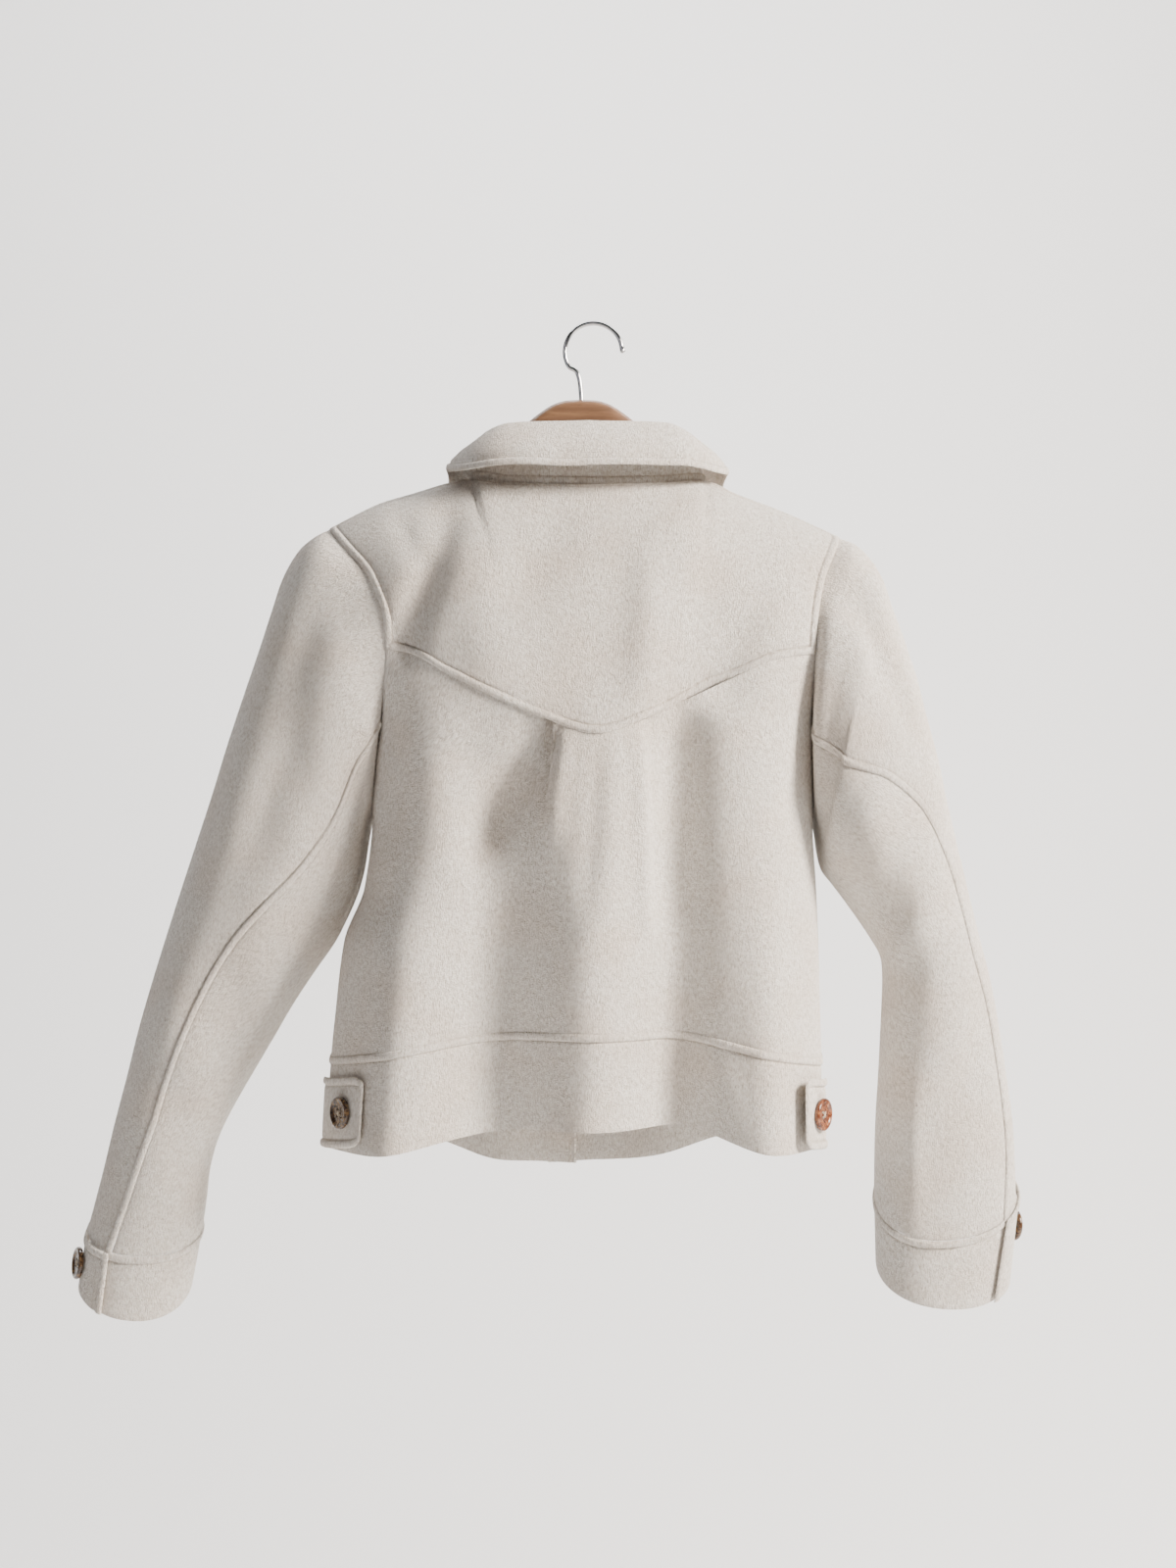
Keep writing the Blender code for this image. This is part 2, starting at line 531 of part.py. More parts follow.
def back_band_points():
    left, box, right = back_parts()
    parts = left + box + right
    rows = []
    for step in BAND_STEPS:
        row = []
        for part in parts:
            drop = mix(BACK_SEAM(part), BACK_HEM(part), step)
            ends = [mix(BACK_SEAM(i), BACK_HEM(i), step) for i in (0, 1)]
            x = mix(BODY_SIDE[LEFT](ends[0]), BODY_SIDE[RIGHT](ends[1]), part)
            row.append((x, back_y(x, drop, x), -drop))
        rows.append(row)
    return np.array(rows)


def front_band_points(side):
    tops = front_tops(side)
    x_shoulder, x_end = tops[0][0], tops[-1][0]
    rows = []
    for step in BAND_STEPS:
        row = []
        for x_top, _, _ in tops:
            part = (x_top - x_shoulder) / (x_end - x_shoulder)
            drop = mix(FRONT_SEAM(part), FRONT_HEM(part), step)
            x = mix(BODY_SIDE[side](mix(FRONT_SEAM(0), FRONT_HEM(0), step)), x_end, part)
            y = depth_at(x, drop, "front") + lap_rise(side, x)
            row.append((x, y, -drop))
        rows.append(row)
    return np.array(rows)


def seam_angle(height):
    """The angle round an armhole that lies at a part of its height."""
    return math.degrees(math.acos(1 - 2 * height))


def armhole_ring(side):
    """The armhole as a ring: shoulder, down the back, underarm, up the front."""
    back, front = [], []
    for height in ARMHOLE_HEIGHTS:
        drop = armhole_drop(side, height)
        x = ARMHOLE_AT[side](height)
        below = ridge(drop - SHOULDER_DROP[side])
        angle = seam_angle(height)
        back.append((angle, (x, -depth_at(x, drop, "back") * below, -drop)))
        front.append((360 - angle, (x, depth_at(x, drop, "front") * below, -drop)))
    return back + front[-2:0:-1]


def turned(angle, seam):
    """An armhole angle, moved so that the back seam's column lies at seam."""
    base = seam_angle(BACK_SEAM_HEIGHT)
    if angle > 180:
        return angle
    if angle < base:
        return angle * seam / base
    return mix(seam, 180, (angle - base) / (180 - base))


def rounded(angle, power):
    """Cosine and sine of an angle, drawn out to a fuller section."""
    cosine, sine = math.cos(math.radians(angle)), math.sin(math.radians(angle))
    return [math.copysign(abs(value) ** (2 / power), value) for value in (cosine, sine)]


def ring_point(side, ring, angle, swell=0.0):
    """The sleeve's point at an angle: 0 outside, 90 at the back, 180 inside."""
    cosine, sine = rounded(angle, SLEEVE_POWER)
    outer = np.array([ring.out_x, 0.0, -ring.out_drop])
    inner = np.array([ring.in_x, 0.0, -ring.in_drop])
    half = (outer - inner) / 2
    half *= 1 + swell / np.linalg.norm(half)
    inwards = 1 if side == LEFT else -1
    shift = np.array([inwards * ring.drawn * sine * sine, ring.forward, 0.0])
    depth = ring.depth + swell
    across = np.array([0.0, -depth * sine, -ring.tilt * sine])
    return (outer + inner) / 2 + shift + half * cosine + across


def dents_at(side, place, angle):
    total = 0.0
    for dent in SLEEVE_DENTS[side]:
        turn = (angle - dent.angle + 180) % 360 - 180
        far = ((place - dent.ring) / dent.rings) ** 2 + (turn / dent.angles) ** 2
        total += dent.rise * math.exp(-far)
    return total


def sleeve_points(side):
    """The whole sleeve as rows of rings, whose first ring is the armhole."""
    armhole = armhole_ring(side)
    rows = [[point for _, point in armhole]]
    for place, ring in enumerate(SLEEVES[side], start=1):
        row = []
        for angle, _ in armhole:
            seamed = turned(angle, ring.seam)
            row.append(ring_point(side, ring, seamed, dents_at(side, place, seamed)))
        rows.append(row)
    return np.array(rows)


def sleeve_parts(side):
    """The upper and under sleeve, split at the back seam and the front seam."""
    rows = sleeve_points(side)
    count = rows.shape[1]
    back = ARMHOLE_HEIGHTS.index(BACK_SEAM_HEIGHT)
    front = count - back
    upper = [i % count for i in range(front, count + back + 1)]
    under = list(range(back, front + 1))
    return rows[:, upper], rows[:, under]


def mix_rings(first, last, part):
    return Ring(*[mix(a, b, part) for a, b in zip(first, last)])


def cuff_points(side):
    """The cuff, a band round the wrist whose end laps over its start at the slit."""
    first, last = SLEEVES[side][-1], CUFF_ENDS[side]
    rows = []
    for step in BAND_STEPS:
        ring = mix_rings(first, last, mix(CUFF_START, 1.0, step))
        row = []
        for i in range(CUFF_CELLS + 1):
            gone = (360 + CUFF_LAP) * i / CUFF_CELLS
            lift = LAYER * (1 - smooth((gone - CUFF_LAP) / 30))
            row.append(ring_point(side, ring, ring.seam - gone, lift))
        rows.append(row)
    return np.array(rows)


def neck_line():
    """The neck seam from the left front round the back to the right front."""
    left, box, right = back_parts()
    top_left, top_right = ARMHOLE_AT[LEFT](0), ARMHOLE_AT[RIGHT](0)
    points = [(1 + angle / 90, front_neck(LEFT, angle)) for angle in FRONT_NECK_ANGLES[::-1]]
    for part in left + box + right:
        x = mix(top_left, top_right, part)
        around = (x - NECK_MIDDLE) / NECK_HALF
        if abs(around) < 1 + 1e-6:
            place = abs(math.asin(min(max(around, -1), 1))) / (math.pi / 2)
            points.append((place, (x, neck_back_y(x), TOP_DROP(x))))
    for angle in FRONT_NECK_ANGLES:
        x, y, drop = front_neck(RIGHT, angle)
        points.append((1 + angle / 90, (x, y + lap_rise(RIGHT, x), drop)))
    return points


def collar_frames():
    """For each column of the collar: neck point, outward direction and its row."""
    line = neck_line()
    points = np.array([(x, y, -drop) for _, (x, y, drop) in line])
    along = np.gradient(points[:, :2], axis=0)
    frames = []
    for (place, _), point, (run_x, run_y) in zip(line, points, along):
        out = np.array([run_y, -run_x, 0.0]) / math.hypot(run_x, run_y)
        row = CollarRow(place, *[column(COLLAR, name)(place) for name in CollarRow._fields[1:]])
        frames.append((point, out, row))
    return frames


def collar_stand_points():
    rows = []
    for part in (1.0, 0.5, 0.0):
        row = []
        for point, out, size in collar_frames():
            row.append(point - out * size.lean * part + Vector((0, 0, size.rise * part)))
        rows.append(row)
    return np.array(rows)


def collar_fall_points():
    frames = collar_frames()
    folds = [point - out * size.lean + np.array([0, 0, size.rise]) for point, out, size in frames]
    rows = []
    for outward, up in FOLD_SECTION:
        row = [fold + out * outward + np.array([0, 0, up + FALL_LIFT])
               for fold, (_, out, _) in zip(folds, frames)]
        rows.append(row)
    for part in FALL_PARTS:
        row = []
        for start, fold, (_, out, size) in zip(rows[len(FOLD_SECTION) - 1], folds, frames):
            end = fold + out * size.out - np.array([0, 0, size.down])
            bulge = FALL_BULGE * math.sin(math.pi * part)
            row.append(mix(start, end, part) + (out + np.array([0, 0, 0.6])) * bulge)
        rows.append(row)
    return np.array(rows)


def band_point(part, down):
    """A point of the back band, that far across and that far below its seam."""
    drop = BACK_SEAM(part) + down
    x = mix(BODY_SIDE[LEFT](drop), BODY_SIDE[RIGHT](drop), part)
    return np.array([x, back_y(x, drop, x), -drop])


def band_normal(part, down):
    """The outward direction of the back band at a point."""
    step = NORMAL_STEP
    part = min(max(part, step), 1 - step)
    across = band_point(part + step, down) - band_point(part - step, down)
    up = band_point(part, down - step) - band_point(part, down + step)
    normal = np.cross(across, up)
    return normal / np.linalg.norm(normal)


def tab_point(side, along, down, above=0.0):
    """A point of a tab's outer face, and the outward direction of the band there."""
    part = TAB_START + TAB_LENGTH_PART[side] * along ** TAB_SPACING
    part = part if side == LEFT else 1 - part
    normal = band_normal(part, down)
    lift = WALL + TAB_CLEAR[side] + TAB_LIFT[side] * along + above
    return band_point(part, down) + normal * lift, normal


def tab_points(side):
    """A tab from the side seam towards the back's middle, lying on the band."""
    rows = []
    for step in TAB_STEPS:
        row = []
        for i in range(TAB_CELLS + 1):
            along = i / TAB_CELLS
            cut = TAB_CORNER * max(along - TAB_CORNER_FROM, 0.0) / (1 - TAB_CORNER_FROM)
            down = TAB_TOP + mix(cut, TAB_HEIGHT - cut, step)
            row.append(tab_point(side, along, down)[0])
        rows.append(row)
    rows = np.array(rows)
    return rows if side == LEFT else rows[:, ::-1]


def normals_of(points):
    """Outward unit normals of a grid whose rows run down and columns to the right."""
    along = np.gradient(points, axis=1)
    down = np.gradient(points, axis=0)
    normals = np.cross(down, along)
    sizes = np.linalg.norm(normals, axis=2, keepdims=True)
    return normals / np.maximum(sizes, 1e-9)


def border(shape):
    rows, columns = shape[:2]
    for r in range(rows):
        for c in range(columns):
            if r in (0, rows - 1) or c in (0, columns - 1):
                yield r, c


def mitre_seams(cloths):
    """Share the wall's direction between pieces along their seams."""
    marks = []
    for name, (points, normals) in cloths.items():
        for r, c in border(points.shape):
            marks.append((name, r, c))
    tree = KDTree(len(marks))
    for i, (name, r, c) in enumerate(marks):
        tree.insert(cloths[name][0][r, c], i)
    tree.balance()
    directions = {name: normals.copy() for name, (_, normals) in cloths.items()}
    for name, r, c in marks:
        own = cloths[name][1][r, c]
        total = own.copy()
        used = {name}
        near = tree.find_range(cloths[name][0][r, c], MITRE_REACH)
        for _, i, _ in sorted(near, key=lambda found: found[2]):
            other = marks[i][0]
            normal = cloths[other][1][marks[i][1], marks[i][2]]
            if other not in used and np.dot(own, normal) > MITRE_LEAST:
                total += normal
                used.add(other)
        total /= np.linalg.norm(total)
        directions[name][r, c] = total * min(1 / max(np.dot(total, own), 0.1), MITRE_LIMIT)
    return directions


def draw_back(points):
    """Pull the four edges of a grid back from their seam lines."""
    result = points.copy()
    for axis in (0, 1):
        grid = np.moveaxis(result, axis, 0)
        for edge, inner in ((0, 1), (-1, -2)):
            step = grid[inner] - grid[edge]
            size = np.linalg.norm(step, axis=-1, keepdims=True)
            grid[edge] = grid[edge] + step / np.maximum(size, 1e-9) * HALF_SEAM
    return result


def add_object(name, mesh, finish, collection):
    mesh.materials.append(finish)
    item = bpy.data.objects.new(name, mesh)
    collection.objects.link(item)
    return item


def loft_wall(name, points, directions, finish, collection):
    """A closed wall of cloth between a grid of outer points and one WALL inside it."""
    outer = draw_back(points)
    inner = outer - directions * WALL
    rows, columns = points.shape[:2]
    build = bmesh.new()
    skins = [[[build.verts.new(skin[r, c]) for c in range(columns)] for r in range(rows)]
             for skin in (outer, inner)]
    for r in range(rows - 1):
        for c in range(columns - 1):
            corners = ((r, c), (r + 1, c), (r + 1, c + 1), (r, c + 1))
            build.faces.new([skins[0][i][j] for i, j in corners])
            build.faces.new([skins[1][i][j] for i, j in reversed(corners)])
    rim = [(0, c) for c in range(columns)] + [(r, columns - 1) for r in range(1, rows)]
    rim += [(rows - 1, c) for c in range(columns - 2, -1, -1)]
    rim += [(r, 0) for r in range(rows - 2, 0, -1)]
    for (i, j), (k, m) in zip(rim, rim[1:] + rim[:1]):
        build.faces.new([skins[0][i][j], skins[0][k][m], skins[1][k][m], skins[1][i][j]])
    mesh = bpy.data.meshes.new(name)
    build.to_mesh(mesh)
    build.free()
    mesh.shade_smooth()
    mesh.set_sharp_from_angle(angle=math.radians(50))
    return add_object(name, mesh, finish, collection)


def finish_of(name, colour, roughness, metallic=0.0):
    """A plain Principled finish from a linear colour."""
    finish = bpy.data.materials.new(name)
    finish.use_nodes = True
    shader = finish.node_tree.nodes["Principled BSDF"]
    shader.inputs["Base Color"].default_value = (*colour, 1.0)
    shader.inputs["Roughness"].default_value = roughness
    shader.inputs["Metallic"].default_value = metallic
    finish.diffuse_color = (*colour, 1.0)
    return finish


def wool(name):
    return finish_of("wool_" + name, (0.70, 0.65, 0.58), 0.95)


def cloth_grids():
    """Every cloth piece as a grid of points on its outer face."""
    grids = {"back_yoke": yoke_points(), "back_panel": back_panel_points()}
    grids["waistband_back"] = back_band_points()
    for side in (LEFT, RIGHT):
        grids["front_" + side] = front_points(side)
        grids["waistband_" + side] = front_band_points(side)
        upper, under = sleeve_parts(side)
        grids["sleeve_upper_" + side] = upper
        grids["sleeve_under_" + side] = under
        grids["cuff_" + side] = cuff_points(side)
        grids["waist_tab_" + side] = tab_points(side)
    grids["collar_stand"] = collar_stand_points()
    grids["collar_fall"] = collar_fall_points()
    return grids


def outward_sign(name, points, normals):
    """Whether a grid's normals face out of the garment, by its own middle."""
    if name.startswith(("sleeve", "cuff")):
        centres = points.mean(axis=1, keepdims=True)
        if name.startswith("sleeve"):
            side = LEFT if name.endswith(LEFT) else RIGHT
            whole = sleeve_points(side)
            centres = whole.mean(axis=1, keepdims=True)
        return 1 if np.sum(normals * (points - centres)) > 0 else -1
    if name.startswith("collar"):
        middle = np.array([NECK_MIDDLE, 0.01, -0.17])
        return 1 if np.sum(normals * (points - middle)) > 0 else -1
    faces_back = name in ("back_yoke", "back_panel", "waistband_back")
    faces_back = faces_back or name.startswith("waist_tab")
    wanted = -1 if faces_back else 1
    return 1 if np.sum(normals[..., 1]) * wanted > 0 else -1


def build_cloth(collection):
    cloths = {}
    for name, points in cloth_grids().items():
        normals = normals_of(points)
        if outward_sign(name, points, normals) < 0:
            points = points[:, ::-1]
            normals = normals_of(points)
        cloths[name] = (points, normals)
    directions = mitre_seams(cloths)
    for name, (points, _) in cloths.items():
        loft_wall(name, points, directions[name], wool(name), collection)


def screw_profile(name, profile, steps):
    """A turned mesh from a profile of (radius, height), top to bottom."""
    mesh = bpy.data.meshes.new(name)
    verts = [(radius, 0.0, height) for radius, height in profile]
    mesh.from_pydata(verts, [(i, i + 1) for i in range(len(verts) - 1)], [])
    item = bpy.data.objects.new(name, mesh)
    turn = item.modifiers.new("turn", "SCREW")
    turn.steps = steps
    turn.render_steps = steps
    turn.use_merge_vertices = True
    turn.merge_threshold = 0.00005
    return item


def build_button(name, place, facing, collection, finish):
    """A turned button with a raised rim, its back resting on the cloth at place."""
    r, t = BUTTON_RADIUS, BUTTON_THICKNESS
    profile = [(0.0, t * 0.62), (r * 0.60, t * 0.66), (r * 0.80, t), (r * 0.93, t * 0.86),
               (r, t * 0.45), (r * 0.90, 0.0), (0.0, 0.0)]
    item = screw_profile(name, profile, BUTTON_STEPS)
    item.data.materials.append(finish)
    item.location = place
    item.rotation_mode = "QUATERNION"
    item.rotation_quaternion = Vector(facing).to_track_quat("Z", "Y")
    collection.objects.link(item)


def horn(name, colour):
    return finish_of("horn_" + name, colour, 0.28)


def build_buttons(collection):
    dark, red = (0.055, 0.032, 0.020), (0.110, 0.050, 0.028)
    for side, colour in ((LEFT, dark), (RIGHT, red)):
        middle = TAB_TOP + TAB_HEIGHT / 2
        place, normal = tab_point(side, TAB_BUTTON_ALONG[side], middle, BUTTON_CLEAR)
        name = "button_tab_" + side
        build_button(name, place, normal, collection, horn(name, colour))
    for side, angle in CUFF_BUTTON_ANGLE.items():
        ring = mix_rings(SLEEVES[side][-1], CUFF_ENDS[side], CUFF_BUTTON_DOWN)
        place = ring_point(side, ring, angle, LAYER + CUFF_BUTTON_CLEAR)
        ahead = ring_point(side, ring, angle + 4) - ring_point(side, ring, angle - 4)
        down = ring_point(side, CUFF_ENDS[side], angle) - ring_point(side, SLEEVES[side][-1], angle)
        normal = np.cross(ahead, down)
        centre = ring_point(side, ring, 0) + ring_point(side, ring, 180)
        normal *= 1 if np.dot(normal, place - centre / 2) > 0 else -1
        name = "button_cuff_" + side
        build_button(name, place, normal, collection, horn(name, dark))
    for i in range(FRONT_BUTTONS):
        drop = mix(FRONT_BUTTON_FIRST, FRONT_BUTTON_LAST, i / (FRONT_BUTTONS - 1))
        y = depth_at(CENTRE_FRONT, drop, "front") + lap_rise(RIGHT, CENTRE_FRONT)
        name = "button_front_%d" % (i + 1)
        place = (CENTRE_FRONT, y + BUTTON_CLEAR, -drop)
        build_button(name, place, (0, 1, 0), collection, horn(name, dark))


def hanger_top(x):
    """The wood's top edge: a bell at the neck, then along under the shoulder line."""
    out = abs(x - HANGER_MIDDLE)
    arch = column(HANGER, "drop")(out)
    if out < HANGER[7].out * 0.9:
        return arch
    return max(arch, TOP_DROP(x) + WALL + HANGER_CLEAR)


def build_hanger(collection):
    """The wooden arms, lofted through rounded sections from end to end."""
    finish = finish_of("beech", (0.255, 0.130, 0.064), 0.42)
    heights, thicks = column(HANGER, "height"), column(HANGER, "thick")
    build = bmesh.new()
    rings = []
    for i in range(HANGER_SECTIONS + 1):
        x = mix(HANGER_REACH[LEFT], HANGER_REACH[RIGHT], i / HANGER_SECTIONS)
        out = abs(x - HANGER_MIDDLE)
        shrink = 0.8 if i in (0, HANGER_SECTIONS) else 1.0
        height, thick = heights(out) * shrink, thicks(out) * shrink
        middle = -hanger_top(x) - heights(out) / 2
        ring = []
        for k in range(12):
            cosine, sine = rounded(360 * k / 12 + 15, 2.3)
            ring.append(build.verts.new((x, thick / 2 * cosine, middle + height / 2 * sine)))
        rings.append(ring)
    for first, last in zip(rings, rings[1:]):
        for k in range(12):
            n = (k + 1) % 12
            build.faces.new([first[k], first[n], last[n], last[k]])
    build.faces.new(rings[0][::-1])
    build.faces.new(rings[-1])
    bmesh.ops.recalc_face_normals(build, faces=build.faces)
    mesh = bpy.data.meshes.new("hanger_wood")
    build.to_mesh(mesh)
    build.free()
    mesh.shade_smooth()
    mesh.set_sharp_from_angle(angle=math.radians(50))
    add_object("hanger_wood", mesh, finish, collection)


def hook_route():
    """Centre line of the hook's wire, from the wood up and over to its tip."""
    centre_x, centre_z = 0.0005, WIRE - HOOK_RADIUS
    stem = [(HANGER_MIDDLE, -0.0586), (HANGER_MIDDLE - 0.0005, -0.0520),
            (HANGER_MIDDLE - 0.0010, -0.0465), (HANGER_MIDDLE - 0.0020, -0.0410),
            (HANGER_MIDDLE - 0.0045, -0.0355)]
    arc = []
    for step in range(17):
        turn = math.radians(mix(212, 8, step / 16))
        arc.append((centre_x + HOOK_RADIUS * math.cos(turn),
                    centre_z + HOOK_RADIUS * math.sin(turn)))
    return stem + arc + [(0.0238, -0.0218)]


def build_hook(collection):
    """A bent chrome wire with a rounded tip."""
    curve = bpy.data.curves.new("hanger_hook", "CURVE")
    curve.dimensions = "3D"
    curve.bevel_depth = WIRE
    curve.bevel_resolution = 2
    curve.use_fill_caps = True
    route = hook_route()
    spline = curve.splines.new("POLY")
    spline.points.add(len(route) - 1)
    for point, (x, z) in zip(spline.points, route):
        point.co = (x, 0.0, z, 1.0)
    spline.points[-1].radius = 0.9
    spline.points[-2].radius = 1.15
    add_object("hanger_hook", curve, finish_of("chrome", (0.72, 0.72, 0.74), 0.12, 1.0), collection)


def main():
    for item in list(bpy.data.objects):
        bpy.data.objects.remove(item, do_unlink=True)
    collection = bpy.data.collections.new(COLLECTION)
    bpy.context.scene.collection.children.link(collection)
    build_cloth(collection)
    build_buttons(collection)
    build_hanger(collection)
    build_hook(collection)


main()
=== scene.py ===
"""Finished look of a cropped boxy jacket in brushed wool on a wooden hanger.

Every cloth piece is drawn again on the form of its plain solid: a fine grid of
points from the same sizes, with its seams, creases and nap. Metres, +Z up. The
origin is the inner top of the hook and a drop is a distance below it. The back of
the jacket faces -Y. Left and right are as seen from the back.
"""
import logging
import math
from dataclasses import dataclass
from enum import Enum
from typing import Iterable, NamedTuple, Sequence

import bmesh
import bpy
import numpy as np
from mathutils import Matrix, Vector


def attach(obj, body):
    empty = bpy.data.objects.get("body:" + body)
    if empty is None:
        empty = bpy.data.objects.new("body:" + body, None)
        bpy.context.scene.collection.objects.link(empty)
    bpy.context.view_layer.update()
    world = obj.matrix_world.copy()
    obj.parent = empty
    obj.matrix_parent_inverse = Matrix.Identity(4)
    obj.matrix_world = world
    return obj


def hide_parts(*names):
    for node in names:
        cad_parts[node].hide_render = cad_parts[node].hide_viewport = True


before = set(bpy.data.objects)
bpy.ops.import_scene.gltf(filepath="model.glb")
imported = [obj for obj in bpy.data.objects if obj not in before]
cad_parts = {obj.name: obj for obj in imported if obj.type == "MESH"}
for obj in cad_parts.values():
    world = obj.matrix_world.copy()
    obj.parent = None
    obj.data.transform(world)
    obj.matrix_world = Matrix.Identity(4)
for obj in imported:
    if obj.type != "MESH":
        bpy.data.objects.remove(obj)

LOG = logging.getLogger("jacket")
Grid = np.ndarray
UP = np.array([0.0, 0.0, 1.0])
SHARP = math.radians(60)
WELT_WIDTH = 0.0062


class Side(Enum):
    """A side of the jacket as seen from the back."""

    LEFT = "left"
    RIGHT = "right"


class Face(Enum):
    """Which way a cloth piece looks."""

    BACK = "back"
    FRONT = "front"
    AROUND = "around"


class Edge(Enum):
    """An edge of a cloth grid, whose rows run down and columns across."""

    TOP = "top"
    LOW = "low"
    FIRST = "first"
    LAST = "last"


class Held(Enum):
    """How a sheet of cloth is held."""

    HUNG = "hung"
    FOLDED = "folded"
    LAID = "laid"


class Slot(Enum):
    """The record's material slots."""

    WOOL = "wool"
    HORN = "horn"
    WOOD = "hanger_wood"
    CHROME = "hook_chrome"


def linear(colour: str) -> tuple[float, float, float, float]:
    """Turn an sRGB colour into the linear values that a shader reads.

    Args:
        colour: Six hex digits with a leading #.

    Returns:
        Linear red, green and blue, and full opacity.
    """
    values = [int(colour[i:i + 2], 16) / 255 for i in (1, 3, 5)]
    red, green, blue = [v / 12.92 if v <= 0.04045 else ((v + 0.055) / 1.055) ** 2.4 for v in values]
    return red, green, blue, 1.0


def mix(a, b, part):
    """Blend from a to b; any of the three may be an array."""
    return a + (b - a) * part


def smooth(value):
    """Ease from 0 to 1, flat at both ends."""
    value = np.clip(value, 0.0, 1.0)
    return value * value * (3 - 2 * value)


def fine(values: Sequence[float], step: float) -> Grid:
    """Add values between the given ones so that no gap is wider than the step.

    Args:
        values: Rising places, all of which are kept.
        step: Widest gap allowed.

    Returns:
        The places with the added ones between them.
    """
    result = [values[0]]
    for first, last in zip(values, values[1:]):
        count = max(1, math.ceil(abs(last - first) / step - 1e-6))
        result += [mix(first, last, (i + 1) / count) for i in range(count)]
    return np.array(result)


class Curve:
    """A smooth curve through values at places that never overshoots them."""

    def __init__(self, places: Sequence[float], values: Sequence[float]) -> None:
        self.places = np.array(places, float)
        self.values = np.array(values, float)
        self.steps = np.diff(self.places)
        rates = np.diff(self.values) / self.steps
        self.slopes = np.zeros(len(self.values))
        for i in range(1, len(self.values) - 1):
            if rates[i - 1] * rates[i] > 0:
                self.slopes[i] = 2 / (1 / rates[i - 1] + 1 / rates[i])
        self.slopes[0], self.slopes[-1] = rates[0], rates[-1]

    @classmethod
    def column(cls, rows: Sequence[NamedTuple], name: str) -> "Curve":
        """Make a curve of one named column of a table against its first one."""
        return cls([row[0] for row in rows], [getattr(row, name) for row in rows])

    def __call__(self, place):
        """Return the curve's values at places inside its range."""
        place = np.clip(place, self.places[0], self.places[-1])
        i = np.clip(np.searchsorted(self.places, place, side="right") - 1, 0, len(self.steps) - 1)
        t = (place - self.places[i]) / self.steps[i]
        start = (1 + 2 * t) * (1 - t) ** 2 * self.values[i]
        start = start + t * (1 - t) ** 2 * self.steps[i] * self.slopes[i]
        end = t * t * (3 - 2 * t) * self.values[i + 1]
        return start + end + t * t * (t - 1) * self.steps[i] * self.slopes[i + 1]


def resample(rows: Grid, places: Grid) -> Grid:
    """Read a grid between its rows with a smooth curve through them.

    Args:
        rows: Points in rows, one row at each whole place.
        places: Places to read, from 0 to the last row.

    Returns:
        One row of points for each place.
    """
    last = len(rows) - 1
    i = np.clip(np.floor(places).astype(int), 0, last - 1)
    t = (places - i)[:, None, None]
    before, start = rows[np.maximum(i - 1, 0)], rows[i]
    end, after = rows[i + 1], rows[np.minimum(i + 2, last)]
    slope_start, slope_end = (end - before) / 2, (after - start) / 2
    curve = (2 * t**3 - 3 * t**2 + 1) * start + (t**3 - 2 * t**2 + t) * slope_start
    return curve + (3 * t**2 - 2 * t**3) * end + (t**3 - t**2) * slope_end


def edge_places(count: int, first: bool, last: bool, cells: int = 3, step: float = 0.25) -> Grid:
    """Return the places of a grid's rows, with finer ones beside its welted edges.

    Args:
        count: Number of rows.
        first: Whether the first edge has a welt.
        last: Whether the last edge has a welt.
        cells: How many cells beside an edge are made finer.
        step: Part of a cell between two of the finer rows.

    Returns:
        Places from 0 to count - 1.
    """
    start = cells if first else 0
    stop = count - 1 - (cells if last else 0)
    places = [np.arange(0, start, step), np.arange(start, stop, 1.0), np.arange(stop, count - 1, step)]
    return np.concatenate(places + [np.array([count - 1.0])])


def soften(grid: Grid, rounds: int) -> Grid:
    """Ease a grid's columns into each other, which rounds a hard fold."""
    for _ in range(rounds):
        inner = (grid[:, :-2] + 2 * grid[:, 1:-1] + grid[:, 2:]) / 4
        grid = np.concatenate([grid[:, :1], inner, grid[:, -1:]], axis=1)
    return grid


def normals_of(points: Grid) -> Grid:
    """Return the unit normals of a grid of points."""
    across = np.gradient(points, axis=1)
    down = np.gradient(points, axis=0)
    normals = np.cross(down, across)
    return normals / np.maximum(np.linalg.norm(normals, axis=2, keepdims=True), 1e-9)


def squared(turn: Grid, power: float) -> tuple[Grid, Grid]:
    """Return the cosine and sine of a rounded square section at angles in radians."""
    cosine, sine = [np.sign(part) * np.abs(part) ** (2 / power) for part in (np.cos(turn), np.sin(turn))]
    return cosine, sine


class BodyRow(NamedTuple):
    """Side lines and depths of the body at a drop."""

    drop: float
    left: float
    right: float
    back: float
    front: float


class TopPoint(NamedTuple):
    """A point of a line across the jacket."""

    across: float
    drop: float


class ArmholeRow(NamedTuple):
    """The armhole's place across, at a part of its height."""

    height: float
    left: float
    right: float


class EdgeRow(NamedTuple):
    """Band seam and hem at a part of the way across."""

    part: float
    seam: float
    hem: float


class Fold(NamedTuple):
    """A long soft fold: its line from top to bottom, half width and heights."""

    x_top: float
    top: float
    x_low: float
    low: float
    width: float
    rise_top: float
    rise_low: float


class Crease(NamedTuple):
    """A short soft crease from one point to another, in place across and drop."""

    x_start: float
    start: float
    x_end: float
    end: float
    width: float
    rise: float


